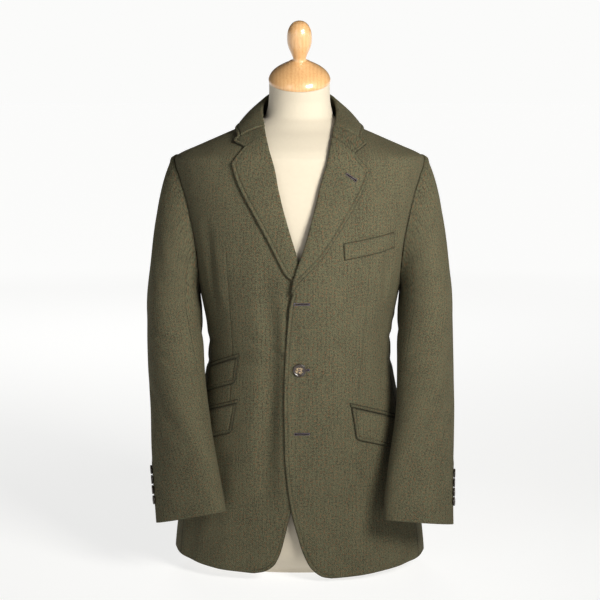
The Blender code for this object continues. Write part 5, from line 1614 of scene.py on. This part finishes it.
def make_button(name, node, across, point, out, stuff, segments, flatter=1.0):
    """A horn button with four holes, its cross of thread and a rolled rim."""
    radius, size = across / 2, across / FRONT_BUTTON
    places = ring_of(BUTTON_PROFILE[0][0] * radius, segments)
    turns = [math.pi / 4 + math.pi / 2 * i for i in range(4)]
    centres = [(HOLE_APART * size * math.cos(a), HOLE_APART * size * math.sin(a)) for a in turns]
    for centre in centres:
        places += ring_of(HOLE_RADIUS * size, HOLE_SIDES, centre)
    loops = [list(range(first, first + HOLE_SIDES))
             for first in range(segments, len(places), HOLE_SIDES)]
    edges = [edge for loop in loops for edge in zip(loop, loop[1:] + loop[:1])]
    disc = [f for f in triangulated(places, segments, edges)[1]
            if min(math.dist(np.mean([places[i] for i in f], axis=0), centre)
                   for centre in centres) > HOLE_RADIUS * size * 0.97]
    count, face_high = len(places), BUTTON_PROFILE[-1][1] * flatter
    points = [(x, y, 0.0) for x, y in places] + [(x, y, face_high) for x, y in places]
    rim = [math.hypot(x, y) / radius for x, y in places] * 2
    faces = [f[::-1] for f in disc] + [tuple(i + count for i in f) for f in disc]
    faces += [(a, a + count, b + count, b) for a, b in edges]
    rings = [0]
    for share, high in BUTTON_PROFILE[1:-1]:
        rings.append(len(points))
        points += [(x, y, high * flatter) for x, y in ring_of(share * radius, segments)]
        rim += [share] * segments
    for lower, upper in zip(rings, rings[1:] + [count]):
        faces += band(lower, upper, segments)
    foot = np.asarray(point) + np.asarray(out) * (sizes().cloth / 2 + BUTTON_CLEAR)
    placed = np.array(points) @ facing(out).T + foot
    piece = new_mesh(name, placed, faces, stuff, shades={"rim": np.array(rim)}, smooth=42)
    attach(piece, "root")
    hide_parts(node)
    ties = []
    for i, j in ((0, 1), (3, 2)):
        a, b = np.array([*centres[i], 0]), np.array([*centres[j], 0])
        for k in (-1, 1):
            shift = unit(np.cross(b - a, (0, 0, 1))) * k * HOLE_RADIUS * size * 0.42
            t = np.linspace(-0.12, 1.12, 9)[:, None]
            arch = face_high + 0.0006 * size - 0.0026 * size * (t - 0.5) ** 2
            arch = np.array([0, 0, 1]) * arch
            ties.append((a + (b - a) * t + shift + arch) @ facing(out).T + foot)
    return ties


def tube_mesh(name, lines, radius, stuff, sides=7):
    """Round threads along lines of points, as one mesh."""
    points, faces = [], []
    for line in lines:
        along = unit(np.gradient(line, axis=0))
        side_way = unit(np.cross(along, np.array([0.3, 0.2, 0.93])))
        other = np.cross(along, side_way)
        first, last = len(points), len(points) + (len(line) - 1) * sides
        for place, one, two in zip(line, side_way, other):
            for a in np.linspace(0, 2 * math.pi, sides, endpoint=False):
                points.append(place + radius * (one * math.cos(a) + two * math.sin(a)))
        for i in range(first, last, sides):
            faces += band(i, i + sides, sides)
        faces += [tuple(range(first, first + sides))[::-1], tuple(range(last, last + sides))]
    return new_mesh(name, points, faces, stuff, smooth=50)


# Buttonholes of the left front, down its edge and then on the lapel: middle (x, z) of the eyelet,
# the direction of the slit and whether it is on the lapel.
BUTTONHOLES = (
    ((-0.0070, 0.4970), (1.0, 0.0), False),
    ((-0.0070, 0.3800), (1.0, 0.0), False),
    ((-0.0070, 0.2670), (1.0, 0.0), False),
    ((0.0945, 0.7052), (-0.842, 0.540), True),
)
HOLE_LONG = 0.0235  # length of a buttonhole from the eyelet's middle
LAPEL_HOLE_LONG = 0.0180
EYELET = 0.0022  # radius of the purl round the eyelet
SLIT_APART = 0.0013  # from the slit's middle to the purl beside it
PURL_LONG, PURL_THICK = 0.0021, 0.00075
PURL_OVER, SLIT_OVER = 0.00015, 0.00016  # how high they lie over the cloth


def hole_path(long):
    """The line that a buttonhole's purl follows, as lengths along and across the slit."""
    open_at = math.degrees(math.asin(SLIT_APART / EYELET))
    angles = np.radians(np.linspace(open_at, 360 - open_at, 26))
    eyelet = np.stack([EYELET * np.cos(angles), EYELET * np.sin(angles)], 1)
    upper = straight((long, SLIT_APART), (EYELET * 0.9, SLIT_APART), 0.001)
    lower = straight((EYELET * 0.9, -SLIT_APART), (long, -SLIT_APART), 0.001)
    bar = straight((long + 0.0005, -SLIT_APART), (long + 0.0005, SLIT_APART), 0.0007)
    return [np.concatenate([upper, eyelet, lower]), bar]


def laid_on_cloth(places, eyelet, way, on_the_lapel, rise):
    """Places along and across a slit, as points over the cloth and their outward directions."""
    x = eyelet[0] + way[0] * places[:, 0] - way[1] * places[:, 1]
    z = eyelet[1] + way[1] * places[:, 0] + way[0] * places[:, 1]
    if on_the_lapel:
        surface, u, v = LAPEL[LEFT], x - ROLL_LINES[LEFT].at("x", z), z
    else:
        surface, (u, v) = FRONT[LEFT], on_front(LEFT, x, z)
    out, points = normals(surface, u, v), surface(u, v)
    if on_the_lapel:
        rise = rise + belly(far_from(points, EDGES[LEFT]))
    return points + out * np.broadcast_to(sizes().cloth / 2 + rise, len(points))[:, None], out


def ribbon(strips):
    """Points and faces of strips given as rows of places across them."""
    points, faces = [], []
    for rows in strips:
        faces += [tuple(len(points) + i for i in f) for f in grid_faces(*rows.shape[:2])]
        points += list(rows.reshape(-1, 3))
    return np.array(points), faces


# ---- the dress form
def form_point(angle, height):
    """A point of the form's torso."""
    u = np.radians(angle) * ROUND
    v = np.full_like(u, at(0, height)[1])
    inside_by = sizes().cloth / 2 + FORM_EASE.at("ease", height)
    return smooth_body(u, v) - normals(smooth_body, u, v) * inside_by


def form_rings(columns):
    """Rings of the form from its foot to the top of its neck."""
    angles = np.linspace(-180, 180, columns, endpoint=False)
    rings = [form_point(angles, h) for h in FORM_HEIGHTS]
    rings[0][:, 2] = 0.0
    c = np.cos(np.radians(angles))
    for h in FORM_NECK.key:
        middle = FORM_NECK.at("middle", h)
        y = middle - FORM_NECK.at("deep", h) * c
        lean = math.tan(math.radians(CAP_TILT)) * ease((h - LEAN_FROM) / LEAN_OVER)
        z = h + lean * (y - middle) + FORM_NECK.at("lift", h) * np.maximum(0, -c) ** 2
        rings.append(np.stack([FORM_NECK.at("radius", h) * np.sin(np.radians(angles)), y, z], 1))
    return np.array(rings)


def frame_shift():
    """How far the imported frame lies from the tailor's own axes: the middle front line at x = 0."""
    rings = form_rings(32)
    low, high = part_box("form_body")
    y = (low.y + high.y - rings[..., 1].min() - rings[..., 1].max()) / 2
    x = (low.x + high.x - rings[..., 0].min() - rings[..., 0].max()) / 2
    return np.array([x, y, 0.0])


SHIFT = np.zeros(3)  # set by main before any piece is made


def make_form():
    """The form's body: whole, smooth, drawn over with jersey, its foot turned in."""
    columns = 144
    rings = refined(form_rings(columns), 6)
    rings[:, :, 2] = np.maximum(rings[:, :, 2], 0.0)
    last = (len(rings) - 1) * columns
    points = [*rings.reshape(-1, 3), rings[0].mean(0), rings[-1].mean(0)]
    faces = [f for first in range(0, last, columns) for f in band(first, first + columns, columns)]
    faces += [(last + columns, (j + 1) % columns, j) for j in range(columns)]
    faces += [(last + j, last + (j + 1) % columns, last + columns + 1) for j in range(columns)]
    angles = np.linspace(-math.pi, math.pi, columns, endpoint=False)
    high = lengths_along(rings[:, 0])
    uv = np.stack(np.broadcast_arrays(angles[None] * FORM_ROUND, high[:, None]), -1).reshape(-1, 2)
    uv = np.concatenate([uv, [(0, 0), (0, high[-1])]])
    piece = new_mesh("Form_body", points, faces, cotton_jersey(), uv, smooth=60)
    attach(piece, "root")
    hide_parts("form_body")


def make_cap():
    """The turned neck cap with its knob."""
    far = lengths_along(CAP_PROFILE)
    table = Table("far radius high", *((f, *place) for f, place in zip(far, CAP_PROFILE)))
    fine = np.linspace(0, far[-1], 190)
    radius, high = table.at("radius", fine), np.maximum.accumulate(table.at("high", fine))
    radius = np.maximum(radius, 0.0002)
    high = high + np.arange(len(high)) * 1e-7
    tilt = math.radians(CAP_TILT)
    axis = np.array([0.0, -math.sin(tilt), math.cos(tilt)])
    line = np.array(CAP_FOOT) + axis * high[:, None]
    piece = through_nodes("Form_cap", turned_group(), [(line, radius)], "radius",
                          {"Segments": 96, "Material": varnished_beech()})
    piece.data.set_sharp_from_angle(angle=math.radians(60))
    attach(piece, "root")
    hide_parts("form_cap")


# ---- operators
class JACKET_OT_fronts(Operator):
    """Cut and hang the two fronts, the left over the right"""
    bl_idname = "jacket.fronts"
    bl_label = "Fronts"

    def execute(self, context):
        for side in (LEFT, RIGHT):
            make_front(side)
        return {"FINISHED"}


class JACKET_OT_back(Operator):
    """Cut and hang the side bodies and the two halves of the back, with the vent"""
    bl_idname = "jacket.back"
    bl_label = "Sides and Back"

    def execute(self, context):
        for side in (LEFT, RIGHT):
            make_side_body(side)
            make_back(side)
        return {"FINISHED"}


class JACKET_OT_lapels(Operator):
    """Roll the two lapels over their fronts"""
    bl_idname = "jacket.lapels"
    bl_label = "Lapels"

    def execute(self, context):
        for side in (LEFT, RIGHT):
            make_lapel(side)
        return {"FINISHED"}


class JACKET_OT_collar(Operator):
    """Set the collar on the neck"""
    bl_idname = "jacket.collar"
    bl_label = "Collar"

    def execute(self, context):
        make_collar()
        return {"FINISHED"}


class JACKET_OT_sleeves(Operator):
    """Set the top and under sleeves into the armholes"""
    bl_idname = "jacket.sleeves"
    bl_label = "Sleeves"

    def execute(self, context):
        for side in (LEFT, RIGHT):
            make_sleeve(side, "top", HIND_SEAM - 360, FOREARM_SEAM)
            make_sleeve(side, "under", FOREARM_SEAM, HIND_SEAM)
        return {"FINISHED"}


class JACKET_OT_pockets(Operator):
    """Sew on the flaps, their jets and the breast welt"""
    bl_idname = "jacket.pockets"
    bl_label = "Pockets"

    def execute(self, context):
        for name, pocket in POCKETS.items():
            make_pocket(name.capitalize(), *pocket)
        make_welt()
        return {"FINISHED"}


class JACKET_OT_stitches(Operator):
    """Stitch along the groove of every finished edge"""
    bl_idname = "jacket.stitches"
    bl_label = "Edge Stitches"

    def execute(self, context):
        if not RUNS:
            raise RuntimeError("make the cloth before its stitches")
        size = sizes()
        lines = [(places + out * size.thread * 0.15, out) for places, out in RUNS.values()]
        piece = through_nodes("Edge_stitches", stitch_group(), lines, "out", {
            "Pitch": size.stitch_pitch, "Length": size.stitch_long, "Thickness": size.thread,
            "Turn": 0.0, "Unevenness": 0.10, "Seed": size.seed, "Material": thread()})
        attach(piece, "root")
        return {"FINISHED"}


class JACKET_OT_buttonholes(Operator):
    """Sew the keyhole buttonholes of the left front and its lapel"""
    bl_idname = "jacket.buttonholes"
    bl_label = "Buttonholes"

    def execute(self, context):
        size = sizes()
        purl, strips = [], []
        for eyelet, way, on_the_lapel in BUTTONHOLES:
            long = LAPEL_HOLE_LONG if on_the_lapel else HOLE_LONG
            for path in hole_path(long):
                purl.append(laid_on_cloth(path, eyelet, way, on_the_lapel, PURL_OVER))
            # A near-black strip laid just over the cloth along each slit is the slit's painted
            # shadow
            hole = EYELET * 0.62
            along = np.linspace(-hole, long, 30)
            wide = np.sqrt(np.maximum(hole ** 2 - along ** 2, 0))
            wide = np.maximum(wide, np.where(along > 0, 0.00045, 0.00002))
            across = [laid_on_cloth(np.stack([along, wide * k], 1), eyelet, way, on_the_lapel,
                                    SLIT_OVER)[0] for k in (-1, 0, 1)]
            strips.append(np.stack(across, 1))
        piece = through_nodes("Buttonhole_purl", stitch_group(), purl, "out", {
            "Pitch": size.purl_pitch, "Length": PURL_LONG, "Thickness": PURL_THICK,
            "Turn": math.pi / 2, "Unevenness": 0.12, "Seed": size.seed + 1,
            "Material": purl_thread()})
        painted_slit_shadows = new_mesh("Buttonhole_painted_slit_shadows", *ribbon(strips), slit_shadow())
        for made in (piece, painted_slit_shadows):
            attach(made, "root")
        return {"FINISHED"}


class JACKET_OT_buttons(Operator):
    """Sew on the front button and the four buttons of each cuff"""
    bl_idname = "jacket.buttons"
    bl_label = "Buttons"

    def execute(self, context):
        u, v = (np.array(n) for n in on_front(LEFT, 0.0, BUTTON_HEIGHT))
        ties = make_button("Button_front", "button_front", FRONT_BUTTON, FRONT[LEFT](u, v),
                           normals(FRONT[LEFT], u, v), mottled_horn(), 64)
        for side in (LEFT, RIGHT):
            for i, height in enumerate(CUFF_BUTTON_HEIGHTS[side]):
                place, before, after = (arm_section(side, CUFF_BUTTON_TURN + d, height)
                                        for d in (0, -3, 3))
                below, above = (arm_section(side, CUFF_BUTTON_TURN, height + d)
                                for d in (-0.01, 0.01))
                out = unit(np.cross(above - below, after - before)) * side
                node = f"button_cuff_{SIDE_NAMES[side]}_{i + 1}"
                ties += make_button(node.capitalize(), node, CUFF_BUTTON,
                                    place + out * VENT_LAP * 0.8, out, dark_horn(), 40,
                                    CUFF_BUTTON_FLATTER)
        piece = tube_mesh("Button_ties", ties, TIE_RADIUS, purl_thread())
        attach(piece, "root")
        return {"FINISHED"}


class JACKET_OT_form(Operator):
    """Stand the dress form under the jacket, with its turned neck cap"""
    bl_idname = "jacket.form"
    bl_label = "Dress Form"

    def execute(self, context):
        make_form()
        make_cap()
        return {"FINISHED"}


CAMERA_DOWN = 8.0  # degrees by which the camera looks down
CAMERA_FAR = 3.0
CAMERA_AIM = (0.0009, -0.12, 0.5015)  # before the frame's shift
LENS, SENSOR = 104.65, 36.0
FLOOR_REACH = 30.0


def area_light(name, place, aim, wide, tall, power, tint, spread=180.0, mirrored=True):
    """An oblong soft light that looks at a place; a honeycomb may narrow its spread."""
    light = bpy.data.lights.new(name, "AREA")
    light.shape, light.size, light.size_y = "RECTANGLE", wide, tall
    light.energy, light.color, light.spread = power, linear(tint), math.radians(spread)
    made = new_object(name, light)
    made.location = place
    made.rotation_euler = (Vector(aim) - Vector(place)).to_track_quat("-Z", "Y").to_euler()
    made.visible_glossy = mirrored


class JACKET_OT_stage(Operator):
    """Lay the pale floor and set the soft lights and the camera"""
    bl_idname = "jacket.stage"
    bl_label = "Stage"

    def execute(self, context):
        corners = [(-1, -1, 0), (1, -1, 0), (1, 1, 0), (-1, 1, 0)]
        floor = new_mesh("Floor", np.array(corners) * FLOOR_REACH - SHIFT, [(0, 1, 2, 3)],
                         lit_floor())
        world = bpy.data.worlds.new("studio")
        world.use_nodes = True
        tree = world.node_tree
        way = add_node(tree, "ShaderNodeTexCoord").outputs["Generated"]
        up = add_node(tree, "ShaderNodeSeparateXYZ", {0: way}).outputs[2]
        feed(tree.nodes["Background"], "Color", mix_colours(
            tree, stepped(tree, up, 0.035, 0.14), rgba(linear("#FBFBFA")),
            rgba(linear("#2B2C2F"))))
        context.scene.world = world
        middle = (0.0, 0.0, 0.50)
        area_light("key", (1.15, -1.65, 1.35), (-0.01, 0.0, 0.65), 0.9, 0.6, 11.2, "#FFFDF8", 66.0)
        area_light("fill", (-2.0, -3.1, 1.5), middle, 1.4, 1.4, 15.0, "#FBFCFF")
        area_light("back", (-0.4, 3.0, 1.9), middle, 1.3, 0.6, 24.0, "#FFFFFF", mirrored=False)
        down = math.radians(CAMERA_DOWN)
        aim = np.array(CAMERA_AIM) + SHIFT
        data = bpy.data.cameras.new("camera")
        data.lens, data.sensor_width, data.sensor_fit = LENS, SENSOR, "HORIZONTAL"
        camera = new_object("camera", data)
        camera.location = aim - CAMERA_FAR * np.array([0, math.cos(down), -math.sin(down)])
        camera.rotation_euler = Euler((math.pi / 2 - down, 0, 0))
        context.scene.camera = camera
        context.scene.view_settings.view_transform = "Standard"
        return {"FINISHED"}


STEPS = (
    JACKET_OT_fronts, JACKET_OT_back, JACKET_OT_lapels, JACKET_OT_collar, JACKET_OT_sleeves,
    JACKET_OT_pockets, JACKET_OT_stitches, JACKET_OT_buttonholes, JACKET_OT_buttons,
    JACKET_OT_form, JACKET_OT_stage,
)


class JACKET_PT_panel(Panel):
    """Lists the pieces, the sizes and the colours of the jacket"""
    bl_idname = "JACKET_PT_panel"
    bl_label = "Hacking Jacket"
    bl_space_type = "VIEW_3D"
    bl_region_type = "UI"
    bl_category = "Jacket"

    def draw(self, context):
        for step in STEPS:
            self.layout.operator(step.bl_idname)
        for group in (context.scene.jacket_sizes, context.scene.jacket_colours):
            box = self.layout.box()
            for key in group.__annotations__:
                box.prop(group, key)


CLASSES = (JacketSizes, JacketColours, *STEPS, JACKET_PT_panel)


def register():
    for made in CLASSES:
        bpy.utils.register_class(made)
    bpy.types.Scene.jacket_sizes = PointerProperty(type=JacketSizes)
    bpy.types.Scene.jacket_colours = PointerProperty(type=JacketColours)


def unregister():
    del bpy.types.Scene.jacket_colours
    del bpy.types.Scene.jacket_sizes
    for made in reversed(CLASSES):
        bpy.utils.unregister_class(made)


def main():
    """Makes the jacket, its form and the stage in order."""
    register()
    SHIFT[:] = frame_shift()
    for step in STEPS:
        group, name = step.bl_idname.split(".")
        getattr(getattr(bpy.ops, group), name)()
    bpy.context.view_layer.update()


if __name__ == "__main__":
    main()
